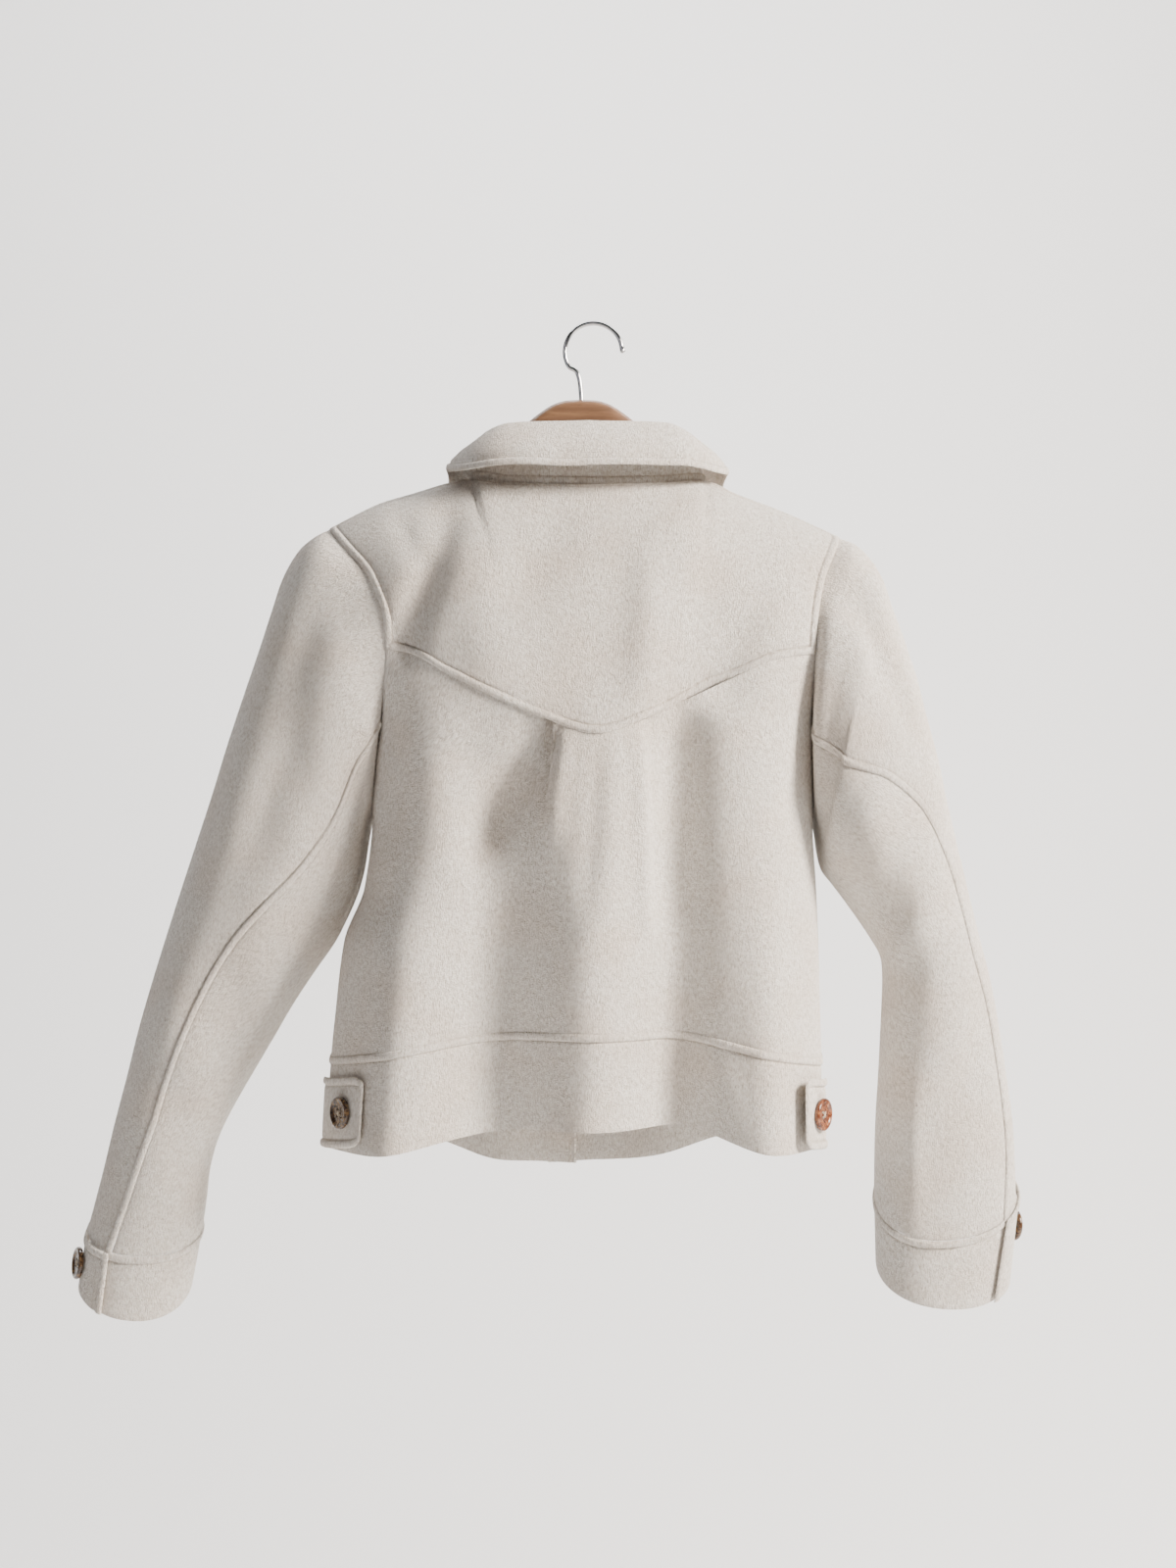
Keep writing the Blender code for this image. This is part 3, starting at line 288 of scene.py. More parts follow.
@dataclass(frozen=True)
class JacketForm:
    """The garment's true shape, from which every body piece takes its points."""

    wall: float = 0.0022
    layer: float = 0.0027
    side_power: float = 2.6
    ridge_run: float = 0.098
    neck_left: float = -0.095
    neck_right: float = 0.088
    neck_back_depth: float = 0.032
    neck_front_depth: float = 0.064
    neck_front_fall: float = 0.083
    neck_opens: float = 1.3
    centre_front: float = -0.0255
    lap_left: float = -0.0135
    lap_right: float = -0.0375
    lap_run: float = 0.030
    lap_layer: float = 0.0034
    underarm_drop: float = 0.385
    shoulder_left: float = 0.1607
    shoulder_right: float = 0.1676
    yoke_low: float = 0.43
    fold_fade: float = 0.030
    fold_rise_run: float = 0.090
    fold_ease: float = 0.02
    body: tuple[BodyRow, ...] = (
        BodyRow(0.100, -0.245, 0.235, 0.058, 0.052),
        BodyRow(0.161, -0.234, 0.222, 0.068, 0.060),
        BodyRow(0.200, -0.213, 0.207, 0.076, 0.066),
        BodyRow(0.259, -0.187, 0.189, 0.083, 0.072),
        BodyRow(0.320, -0.1755, 0.1765, 0.086, 0.078),
        BodyRow(0.385, -0.1725, 0.1715, 0.086, 0.082),
        BodyRow(0.440, -0.1785, 0.1745, 0.085, 0.086),
        BodyRow(0.484, -0.1950, 0.1765, 0.083, 0.088),
        BodyRow(0.541, -0.2020, 0.1780, 0.080, 0.090),
        BodyRow(0.571, -0.2050, 0.1790, 0.078, 0.092),
        BodyRow(0.640, -0.2090, 0.1800, 0.075, 0.094),
        BodyRow(0.690, -0.2100, 0.1800, 0.074, 0.094),
    )
    top_edge: tuple[TopPoint, ...] = (
        TopPoint(-0.2069, 0.1607), TopPoint(-0.1830, 0.1484), TopPoint(-0.1646, 0.1400),
        TopPoint(-0.1407, 0.1330), TopPoint(-0.1130, 0.1246), TopPoint(-0.0950, 0.1215),
        TopPoint(-0.0623, 0.1278), TopPoint(-0.0035, 0.1295), TopPoint(0.0546, 0.1278),
        TopPoint(0.0880, 0.1235), TopPoint(0.1123, 0.1335), TopPoint(0.1430, 0.1450),
        TopPoint(0.1653, 0.1546), TopPoint(0.1938, 0.1676),
    )
    armhole: tuple[ArmholeRow, ...] = (
        ArmholeRow(0.000, -0.2069, 0.1938), ArmholeRow(0.060, -0.1950, 0.1875),
        ArmholeRow(0.180, -0.1715, 0.1765), ArmholeRow(0.340, -0.1585, 0.1703),
        ArmholeRow(0.438, -0.1576, 0.1690), ArmholeRow(0.620, -0.1605, 0.1680),
        ArmholeRow(0.800, -0.1660, 0.1695), ArmholeRow(0.950, -0.1705, 0.1708),
        ArmholeRow(1.000, -0.1725, 0.1715),
    )
    yoke_seam: tuple[TopPoint, ...] = (
        TopPoint(-0.1576, 0.2575), TopPoint(-0.1400, 0.2607), TopPoint(-0.1060, 0.2791),
        TopPoint(-0.0400, 0.3095), TopPoint(0.0030, 0.3225), TopPoint(0.0438, 0.3085),
        TopPoint(0.1038, 0.2807), TopPoint(0.1390, 0.2661), TopPoint(0.1690, 0.2610),
    )
    back_edge: tuple[EdgeRow, ...] = (
        EdgeRow(0.00, 0.5710, 0.6400), EdgeRow(0.12, 0.5600, 0.6370),
        EdgeRow(0.30, 0.5490, 0.6250), EdgeRow(0.50, 0.5450, 0.6190),
        EdgeRow(0.70, 0.5470, 0.6190), EdgeRow(0.88, 0.5600, 0.6370),
        EdgeRow(1.00, 0.5720, 0.6400),
    )
    front_edge: tuple[EdgeRow, ...] = (
        EdgeRow(0.00, 0.5710, 0.6400), EdgeRow(0.30, 0.5790, 0.6500),
        EdgeRow(0.70, 0.5960, 0.6700), EdgeRow(1.00, 0.6010, 0.6750),
    )
    back_folds: tuple[Fold, ...] = (
        Fold(-0.140, 0.36, -0.162, 0.640, 0.036, 0.004, 0.036),
        Fold(-0.072, 0.38, -0.068, 0.640, 0.032, -0.013, -0.026),
        Fold(0.008, 0.36, -0.004, 0.640, 0.028, 0.008, 0.010),
        Fold(0.066, 0.34, 0.062, 0.640, 0.028, -0.017, -0.029),
        Fold(0.140, 0.36, 0.142, 0.640, 0.028, 0.006, 0.034),
        Fold(-0.112, 0.175, -0.143, 0.252, 0.014, -0.006, -0.012),
        Fold(0.128, 0.200, 0.100, 0.285, 0.022, -0.005, -0.009),
    )
    front_folds: tuple[Fold, ...] = (
        Fold(-0.120, 0.30, -0.135, 0.675, 0.034, 0.002, 0.016),
        Fold(-0.070, 0.34, -0.080, 0.675, 0.026, -0.003, -0.014),
        Fold(0.060, 0.34, 0.056, 0.675, 0.028, -0.003, -0.014),
        Fold(0.115, 0.30, 0.118, 0.675, 0.032, 0.002, 0.016),
    )

    def __post_init__(self) -> None:
        """Make the curves of the tables once."""
        curves = {
            "top_drop": Curve.column(self.top_edge, "drop"),
            "seam_drop": Curve.column(self.yoke_seam, "drop"),
            "back_seam": Curve.column(self.back_edge, "seam"),
            "back_hem": Curve.column(self.back_edge, "hem"),
            "front_seam": Curve.column(self.front_edge, "seam"),
            "front_hem": Curve.column(self.front_edge, "hem"),
            "sides": {side: Curve.column(self.body, side.value) for side in Side},
            "depths": {face: Curve.column(self.body, face.value) for face in (Face.BACK, Face.FRONT)},
            "armholes": {side: Curve.column(self.armhole, side.value) for side in Side},
        }
        for name, curve in curves.items():
            object.__setattr__(self, name, curve)

    @property
    def neck_middle(self) -> float:
        """Place across of the middle of the neck."""
        return (self.neck_left + self.neck_right) / 2

    @property
    def neck_half(self) -> float:
        """Half the width of the neck."""
        return (self.neck_right - self.neck_left) / 2

    def neck_at(self, side: Side) -> float:
        """Return the neck point of a side."""
        return self.neck_left if side is Side.LEFT else self.neck_right

    def lap_at(self, side: Side) -> float:
        """Return the place across of a front's edge."""
        return self.lap_left if side is Side.LEFT else self.lap_right

    def shoulder_at(self, side: Side) -> float:
        """Return the drop of a shoulder's end."""
        return self.shoulder_left if side is Side.LEFT else self.shoulder_right

    def armhole_drop(self, side: Side, height):
        """Return the drop at a part of the armhole's height."""
        return mix(self.shoulder_at(side), self.underarm_drop, height)

    def side_edge(self, side: Side, drop):
        """Return where a panel ends: at the armhole, and below it at the side seam."""
        shoulder = self.shoulder_at(side)
        height = (drop - shoulder) / (self.underarm_drop - shoulder)
        return np.where(height < 1, self.armholes[side](height), self.sides[side](drop))

    def ridge(self, below):
        """Return how far the cloth has reached its full depth below the shoulder."""
        rest = 1 - np.clip(below / self.ridge_run, 0.0, 1.0)
        return np.sqrt(1 - rest * rest)

    def folds_at(self, x, drop, folds: Iterable[Fold]):
        """Return the summed height of the long folds at points."""
        total = 0.0
        for fold in folds:
            gone = (drop - fold.top) / (fold.low - fold.top)
            part = np.minimum((gone + np.sqrt(gone * gone + self.fold_ease)) / 2, 1.0)
            middle = mix(fold.x_top, fold.x_low, part)
            above = smooth((fold.top - drop) / self.fold_rise_run)
            below = smooth((drop - fold.low) / self.fold_fade)
            rise = mix(fold.rise_top, fold.rise_low, part) * (1 - above) * (1 - below)
            total = total + rise * np.exp(-(((x - middle) / fold.width) ** 2))
        return total

    def depth_at(self, x, drop, face: Face):
        """Return the distance of the back or front cloth from the middle plane."""
        left, right = self.sides[Side.LEFT](drop), self.sides[Side.RIGHT](drop)
        part = np.minimum(np.abs((x - (left + right) / 2) / ((right - left) / 2)), 1.0)
        depth = self.depths[face](drop) * (1 - part**self.side_power) ** (1 / self.side_power)
        folds = self.back_folds if face is Face.BACK else self.front_folds
        return depth + self.folds_at(x, drop, folds) * (1 - part**4)

    def neck_back_y(self, x):
        """Return the depth of the neck line at the back."""
        part = np.clip((x - self.neck_middle) / self.neck_half, -1.0, 1.0)
        return -self.neck_back_depth * np.sqrt(1 - part * part)

    def back_y(self, x, drop, x_top):
        """Return the back cloth's depth under the top edge's point at x_top."""
        part = self.ridge(drop - self.top_drop(x_top))
        return mix(self.neck_back_y(x_top), -self.depth_at(x, drop, Face.BACK), part)

    def lap_rise(self, side: Side, x):
        """Return how far the right front is lifted over the left one."""
        if side is Side.LEFT:
            return 0.0 * x
        return self.lap_layer * smooth((self.lap_left + self.lap_run - x) / (self.lap_run * 0.6))

    def front_neck(self, side: Side, angle):
        """Return a point of the front neck edge, 0 degrees at the shoulder."""
        turn = np.radians(angle)
        x = mix(self.neck_at(side), self.centre_front, (angle / 90) ** self.neck_opens)
        drop = self.top_drop(self.neck_at(side)) + self.neck_front_fall * np.sin(turn) ** 1.3
        return x, self.neck_front_depth * np.sin(turn) ** 0.65, drop

    def lap_angle(self, side: Side) -> float:
        """Return the neck angle at which a front ends."""
        beyond = self.lap_at(side) - self.neck_at(side)
        return 90 * (beyond / (self.centre_front - self.neck_at(side))) ** (1 / self.neck_opens)


def creased(points: Grid, creases: Iterable[Crease]) -> Grid:
    """Return the height of short soft creases at a grid's points.

    Args:
        points: Points in rows, in metres.
        creases: Lines in place across and drop, with half width and rise.

    Returns:
        Height to add at each point of the grid, in metres.
    """
    total = np.zeros(points.shape[:2])
    for crease in creases:
        start = np.array([crease.x_start, crease.start])
        run = np.array([crease.x_end, crease.end]) - start
        offset = np.stack([points[..., 0], -points[..., 2]], axis=-1) - start
        along = np.clip(offset @ run / (run @ run), 0.0, 1.0)
        gap = np.linalg.norm(offset - along[..., None] * run, axis=-1)
        fade = np.sqrt(np.clip(4 * along * (1 - along) + 0.15, 0, 1))
        total += crease.rise * fade * np.exp(-((gap / crease.width) ** 2))
    return total


@dataclass(frozen=True)
class ClothPiece:
    """One cut piece of cloth: a grid of points made a thin shell.

    Attributes:
        node: Plain solid that it stands for.
        points: Grid on the outer face, rows down and columns across.
        face: Which way it looks.
        rests_on: What it hangs from or lies on; not used.
        welts: Edges with a stitched welt.
        creases: Short creases, given one by one.
        held: How the cloth is held; not used.
        wall: Thickness of the shell.
        edge_round: Width of its rounded edges.
        welt_rise: Height of a welt's roll.
        welt_groove: Depth of the stitched groove beside it.
        groove_place: Middle of the groove, in welt widths.
        groove_spread: Half width of the groove, in welt widths.
        no_seam: Distance kept where no edge has a welt.
        least_filled: Least part of the cut's box that its area may be; not used.
    """

    node: str
    points: Grid
    face: Face
    rests_on: str
    welts: tuple[Edge, ...] = ()
    creases: tuple[Crease, ...] = ()
    held: Held = Held.HUNG
    wall: float = 0.0021
    edge_round: float = 0.0007
    welt_rise: float = 0.0014
    welt_groove: float = 0.0007
    groove_place: float = 1.06
    groove_spread: float = 0.13
    no_seam: float = 0.1
    least_filled: float = 0.31

    def finer(self) -> Grid:
        """Return the grid with finer rows and columns beside its welted edges."""
        rows = edge_places(len(self.points), Edge.TOP in self.welts, Edge.LOW in self.welts)
        columns = edge_places(self.points.shape[1], Edge.FIRST in self.welts, Edge.LAST in self.welts)
        points = resample(self.points, rows)
        return np.swapaxes(resample(np.swapaxes(points, 0, 1), columns), 0, 1)

    def welted(self, gap: Grid) -> Grid:
        """Return a welt's height at a distance from its edge: rolled up, then stitched down."""
        part = gap / WELT_WIDTH
        roll = np.sqrt(np.clip(1 - (2 * np.clip(part, 0, 1) - 1) ** 2, 0, 1))
        groove = np.exp(-(((part - self.groove_place) / self.groove_spread) ** 2))
        return self.welt_rise * roll - self.welt_groove * groove

    @staticmethod
    def arcs(points: Grid) -> tuple[Grid, Grid]:
        """Return the distance along the cloth, across from the middle and up from the low edge."""
        across = np.linalg.norm(np.diff(points, axis=1), axis=2)
        down = np.linalg.norm(np.diff(points, axis=0), axis=2)
        u = np.concatenate([np.zeros((len(across), 1)), np.cumsum(across, axis=1)], axis=1)
        v = np.concatenate([np.zeros((1, down.shape[1])), np.cumsum(down, axis=0)], axis=0)
        middle = points.shape[1] // 2
        return u - u[:, middle:middle + 1], v - v[-1:]

    def seam_marks(self, u: Grid, v: Grid) -> Grid:
        """Return each point's distance to the nearest welted edge and the place along it."""
        far = np.full(u.shape, self.no_seam)
        place = np.zeros(u.shape)
        gaps = {Edge.TOP: v - v[:1], Edge.LOW: v[-1:] - v, Edge.FIRST: u - u[:, :1],
                Edge.LAST: u[:, -1:] - u}
        for edge in self.welts:
            gap = gaps[edge]
            along = u if edge in (Edge.TOP, Edge.LOW) else v
            place = np.where(gap < far, along, place)
            far = np.minimum(far, gap)
        return np.stack([far, place, np.zeros(u.shape)], axis=-1)

    def outward(self, points: Grid) -> Grid:
        """Return the unit normals that point out of the garment."""
        normals = normals_of(points)
        if self.face is Face.AROUND:
            centre = points.mean(axis=1, keepdims=True)
            sign = np.sum(normals * (points - centre))
        else:
            sign = np.sum(normals[..., 1]) * (-1 if self.face is Face.BACK else 1)
        return normals if sign > 0 else -normals

    def build(self, finish: bpy.types.Material) -> bpy.types.Object:
        """Args:
            finish: Material of the cloth.

        Returns:
            The finished piece.
        """
        plain = self.finer()
        outward = self.outward(plain)
        u, v = self.arcs(plain)
        marks = self.seam_marks(u, v)
        height = creased(plain, self.creases) + self.welted(marks[..., 0])
        points = plain + outward * height[..., None]
        if np.sum(normals_of(plain) * outward) < 0:
            points, u, v, marks = points[:, ::-1], u[:, ::-1], v[:, ::-1], marks[:, ::-1]
        name = self.node + "_cloth"
        mesh = grid_mesh(name, points, u, v)
        seam = mesh.attributes.new("seam", "FLOAT_VECTOR", "POINT")
        seam.data.foreach_set("vector", marks[::-1].astype(np.float32).ravel())
        item = add_piece(name, mesh, finish, self.node)
        wall = item.modifiers.new("wall", "SOLIDIFY")
        wall.thickness = self.wall
        wall.offset = -1.0
        wall.use_even_offset = False
        edges = item.modifiers.new("rounded_edges", "BEVEL")
        edges.width = self.edge_round
        edges.segments = 2
        edges.limit_method = "ANGLE"
        edges.angle_limit = SHARP
        return item


def bent_grid(points: Grid) -> bmesh.types.BMesh:
    """Return a plain grid whose points are moved to the given ones, row by row."""
    build = bmesh.new()
    rows, columns = points.shape[:2]
    bmesh.ops.create_grid(build, x_segments=columns - 1, y_segments=rows - 1, size=0.5)
    for vert, place in zip(build.verts, points.reshape(-1, 3)):
        vert.co = place
    return build


def finished_mesh(name: str, build: bmesh.types.BMesh) -> bpy.types.Mesh:
    """Turn what was built into a smooth mesh."""
    mesh = bpy.data.meshes.new(name)
    build.to_mesh(mesh)
    build.free()
    mesh.shade_smooth()
    return mesh


def link(item: bpy.types.Object) -> None:
    """Put an object in the scene."""
    bpy.context.scene.collection.objects.link(item)


def grid_mesh(name: str, points: Grid, u: Grid, v: Grid) -> bpy.types.Mesh:
    """Move the points of a plain grid to a surface and give it its cloth map.

    Args:
        name: Name of the mesh.
        points: Grid of places, rows by columns.
        u: Distance across from the middle column, in metres.
        v: Distance from the low edge, which is negative above it, in metres.

    Returns:
        A smooth mesh with the cloth map in metres.
    """
    mesh = finished_mesh(name, bent_grid(points[::-1]))
    corners = np.zeros(len(mesh.loops), dtype=np.int32)
    mesh.loops.foreach_get("vertex_index", corners)
    flat = np.stack([u[::-1], v[::-1]], axis=-1).reshape(-1, 2)
    layer = mesh.uv_layers.new(name="cloth")
    layer.data.foreach_set("uv", flat[corners].astype(np.float32).ravel())
    mesh.update()
    return mesh


def add_piece(name: str, mesh: bpy.types.Mesh, finish: bpy.types.Material,
              node: str | None = None) -> bpy.types.Object:
    """Put a finished piece in the scene, riding on the part in place of its solid."""
    mesh.materials.append(finish)
    item = bpy.data.objects.new(name, mesh)
    link(item)
    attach(item, "root")
    if node is not None:
        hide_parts(node)
    return item


class PleatRow(NamedTuple):
    """Both edges of the box pleat and how far each is still folded, at a drop."""

    drop: float
    left: float
    left_closed: float
    right: float
    right_closed: float


class PleatPoint(NamedTuple):
    """A point of one pleat edge in plan, folded and open."""

    folded: float
    open: float
    under: int
    depth: float


@dataclass(frozen=True)
class BackPanels:
    """Pointed yoke, lower back with its box pleat, and the back of the waistband."""

    form: JacketForm
    point_part: float = 0.4914
    pleat_middle: float = 0.003
    side_part: float = 0.235
    step_across: float = 0.0085
    step_down: float = 0.012
    step_fall: float = 0.0105
    under: float = 0.006
    opens: float = 0.60
    edge_gap: float = 0.004
    pleat_depth: float = 0.0090
    soft_rounds: int = 2
    pleat: tuple[PleatRow, ...] = (
        PleatRow(0.310, -0.0277, 1.00, 0.0354, 0.14), PleatRow(0.340, -0.0300, 0.78, 0.0360, 0.06),
        PleatRow(0.362, -0.0330, 0.48, 0.0366, 0.02), PleatRow(0.380, -0.0360, 0.22, 0.0372, 0.00),
        PleatRow(0.400, -0.0385, 0.06, 0.0376, 0.00), PleatRow(0.425, -0.0395, 0.00, 0.0380, 0.00),
        PleatRow(0.600, -0.0410, 0.00, 0.0386, 0.00),
    )
    edge: tuple[PleatPoint, ...] = (
        PleatPoint(-0.0062, -0.0120, 0, 0.00), PleatPoint(-0.0018, -0.0090, 0, 0.80),
        PleatPoint(0.0000, -0.0060, 1, 1.00), PleatPoint(0.0006, -0.0030, 1, 0.94),
        PleatPoint(0.0000, 0.0000, 1, 0.76), PleatPoint(0.0008, 0.0030, 0, 0.60),
        PleatPoint(-0.0030, 0.0060, 0, 0.34), PleatPoint(0.0012, 0.0090, 0, 0.00),
    )
    yoke_creases: tuple[Crease, ...] = (
        Crease(-0.020, 0.150, -0.060, 0.225, 0.022, -0.0030),
        Crease(0.060, 0.150, 0.075, 0.215, 0.016, 0.0018),
        Crease(-0.150, 0.155, -0.125, 0.200, 0.010, -0.0020),
        Crease(0.094, 0.185, 0.080, 0.300, 0.022, -0.0080),
        Crease(0.044, 0.175, 0.036, 0.320, 0.015, 0.0040),
        Crease(-0.090, 0.180, -0.070, 0.290, 0.024, 0.0030),
    )
    panel_creases: tuple[Crease, ...] = (
        Crease(-0.036, 0.318, -0.084, 0.410, 0.014, -0.0110),
        Crease(-0.022, 0.320, -0.030, 0.400, 0.009, 0.0034),
        Crease(0.034, 0.318, 0.040, 0.470, 0.007, 0.0050),
        Crease(0.004, 0.330, -0.004, 0.450, 0.010, -0.0026),
        Crease(-0.120, 0.310, -0.104, 0.440, 0.020, 0.0030),
        Crease(0.062, 0.310, 0.060, 0.460, 0.016, -0.0070),
        Crease(0.165, 0.300, 0.150, 0.390, 0.010, -0.0030),
        Crease(-0.158, 0.300, -0.150, 0.400, 0.010, -0.0026),
        Crease(0.010, 0.430, -0.020, 0.520, 0.022, 0.0018),
    )
    band_creases: tuple[Crease, ...] = (
        Crease(-0.120, 0.565, -0.130, 0.600, 0.010, 0.0012),
        Crease(-0.010, 0.560, -0.018, 0.610, 0.014, -0.0010),
        Crease(0.095, 0.560, 0.110, 0.620, 0.010, 0.0012),
    )

    def parts(self) -> tuple[list[float], list[float], list[float]]:
        """Return the columns as parts of the width: left of the pleat, box, right."""
        form = self.form
        top = [form.armholes[side](0.0) for side in Side]
        low = [form.armholes[side](form.yoke_low) for side in Side]
        neck = [(place - top[0]) / (top[1] - top[0]) for place in (form.neck_left, form.neck_right)]
        fold = [(place - low[0]) / (low[1] - low[0]) for place in (self.pleat[0].left, self.pleat[0].right)]
        left = list(fine([0.0, 0.012, self.side_part, neck[0], fold[0] - 0.012], self.step_across))
        box = list(fine([fold[0], self.point_part, fold[1]], self.step_across))
        right = list(fine([fold[1] + 0.012, neck[1], 1 - self.side_part, 0.988, 1.0], self.step_across))
        return left, box, right

    def yoke_points(self) -> Grid:
        """Return the yoke from the shoulder and neck down to its pointed seam."""
        form = self.form
        left, box, right = self.parts()
        part = np.array(left + box + right)[None, :]
        heights = fine([0.0, 0.02, 0.07, 0.15, 0.24, 0.34, form.yoke_low], self.step_down)[:, None]
        x_top = mix(form.armholes[Side.LEFT](0.0), form.armholes[Side.RIGHT](0.0), part)
        low = [form.armholes[side](form.yoke_low) for side in Side]
        x = mix(form.armholes[Side.LEFT](heights), form.armholes[Side.RIGHT](heights), part)
        seam = form.seam_drop(mix(low[0], low[1], part))
        drop = mix(form.top_drop(x_top), seam, heights / form.yoke_low)
        return np.stack([x, form.back_y(x, drop, x_top + 0 * x), -drop], axis=-1)

    def run(self, edge: Grid, closed: Grid, mirrored: bool) -> tuple[Grid, Grid]:
        """Return places across and depths inwards of one pleat edge, row by row."""
        shut = np.minimum(closed / self.opens, 1.0)
        reach = self.under * np.maximum(closed, self.opens)
        across = [mix(p.open, p.folded + reach * p.under, shut) for p in self.edge]
        inward = [p.depth * self.pleat_depth * shut for p in self.edge]
        across, inward = np.stack(across, axis=1), np.stack(inward, axis=1)
        if mirrored:
            return edge[:, None] - across[:, ::-1], inward[:, ::-1]
        return edge[:, None] + across, inward

    def panel_points(self) -> Grid:
        """Return the lower back, whose pleat is folded at the top and opens downwards."""
        form = self.form
        left, box, right = self.parts()
        both = fine([0.0, 1.0], self.step_fall)
        drops = {side: mix(form.armhole_drop(side, form.yoke_low), form.back_seam(part), both)
                 for side, part in ((Side.LEFT, 0.0), (Side.RIGHT, 1.0))}
        ends = {side: form.side_edge(side, drops[side]) for side in Side}
        middle = mix(form.seam_drop(self.pleat_middle), form.back_seam(self.point_part), both)
        pleat = {name: Curve.column(self.pleat, name)(middle) for name in PleatRow._fields[1:]}
        first, first_in = self.run(pleat["left"], pleat["left_closed"], False)
        last, last_in = self.run(pleat["right"], pleat["right_closed"], True)
        x_left, x_right = ends[Side.LEFT][:, None], ends[Side.RIGHT][:, None]
        inner = (np.array(box[1:-1]) - box[0]) / (box[-1] - box[0])
        beside_left = np.array(left)[None, :] / left[-1]
        beside_right = (np.array(right)[None, :] - right[0]) / (1 - right[0])
        columns = [mix(x_left, first[:, :1] - self.edge_gap, beside_left), first,
                   mix(first[:, -1:], last[:, :1], inner[None, :]), last,
                   mix(last[:, -1:] + self.edge_gap, x_right, beside_right)]
        widths = [len(left), len(self.edge), len(inner), len(self.edge), len(right)]
        zeros = [np.zeros((len(both), count)) for count in widths]
        inward = np.concatenate([zeros[0], first_in, zeros[2], last_in, zeros[4]], axis=1)
        x = np.concatenate(columns, axis=1)
        top = form.seam_drop(x[0])[None, :]
        across = np.clip((x - x_left) / (x_right - x_left), 0.0, 1.0)
        drop = mix(top, form.back_seam(across), both[:, None])
        plane = np.stack([x, form.back_y(x, drop, x) + inward, -drop], axis=-1)
        count = len(self.edge)
        right_from = len(left) + count + len(inner)
        plane = self.rounded_fold(plane, right_from - 1, right_from + count + 1)
        return self.rounded_fold(plane, len(left) - 1, len(left) + count + 1)

    def rounded_fold(self, grid: Grid, start: int, stop: int) -> Grid:
        """Add columns between those of a fold and ease them into each other."""
        middle = grid[:, start:stop]
        places = fine(list(range(middle.shape[1])), 0.34)
        base = np.clip(places.astype(int), 0, middle.shape[1] - 2)
        part = (places - base)[None, :, None]
        wide = mix(middle[:, base], middle[:, base + 1], part)
        return np.concatenate([grid[:, :start], soften(wide, self.soft_rounds), grid[:, stop:]], axis=1)

    def band_points(self) -> Grid:
        """Return the back of the waistband."""
        form = self.form
        left, box, right = self.parts()
        part = np.array(left + box + right)[None, :]
        step = fine([0.0, 1.0], 0.045)[:, None]
        drop = mix(form.back_seam(part), form.back_hem(part), step)
        ends = [mix(form.back_seam(i), form.back_hem(i), step) for i in (0.0, 1.0)]
        x = mix(form.sides[Side.LEFT](ends[0]), form.sides[Side.RIGHT](ends[1]), part)
        return np.stack([x, form.back_y(x, drop, x), -drop], axis=-1)

    def build(self, finish: bpy.types.Material) -> None:
        """Make the three pieces of the back."""
        around = (Edge.FIRST, Edge.LAST, Edge.LOW, Edge.TOP)
        for node, points, rests_on, welts, creases in (
                ("back_yoke", self.yoke_points(), "hanger_wood", around, self.yoke_creases),
                ("back_panel", self.panel_points(), "back_yoke_cloth", (), self.panel_creases),
                ("waistband_back", self.band_points(), "back_panel_cloth", (Edge.TOP,), self.band_creases)):
            ClothPiece(node, points, Face.BACK, rests_on, welts, creases).build(finish)


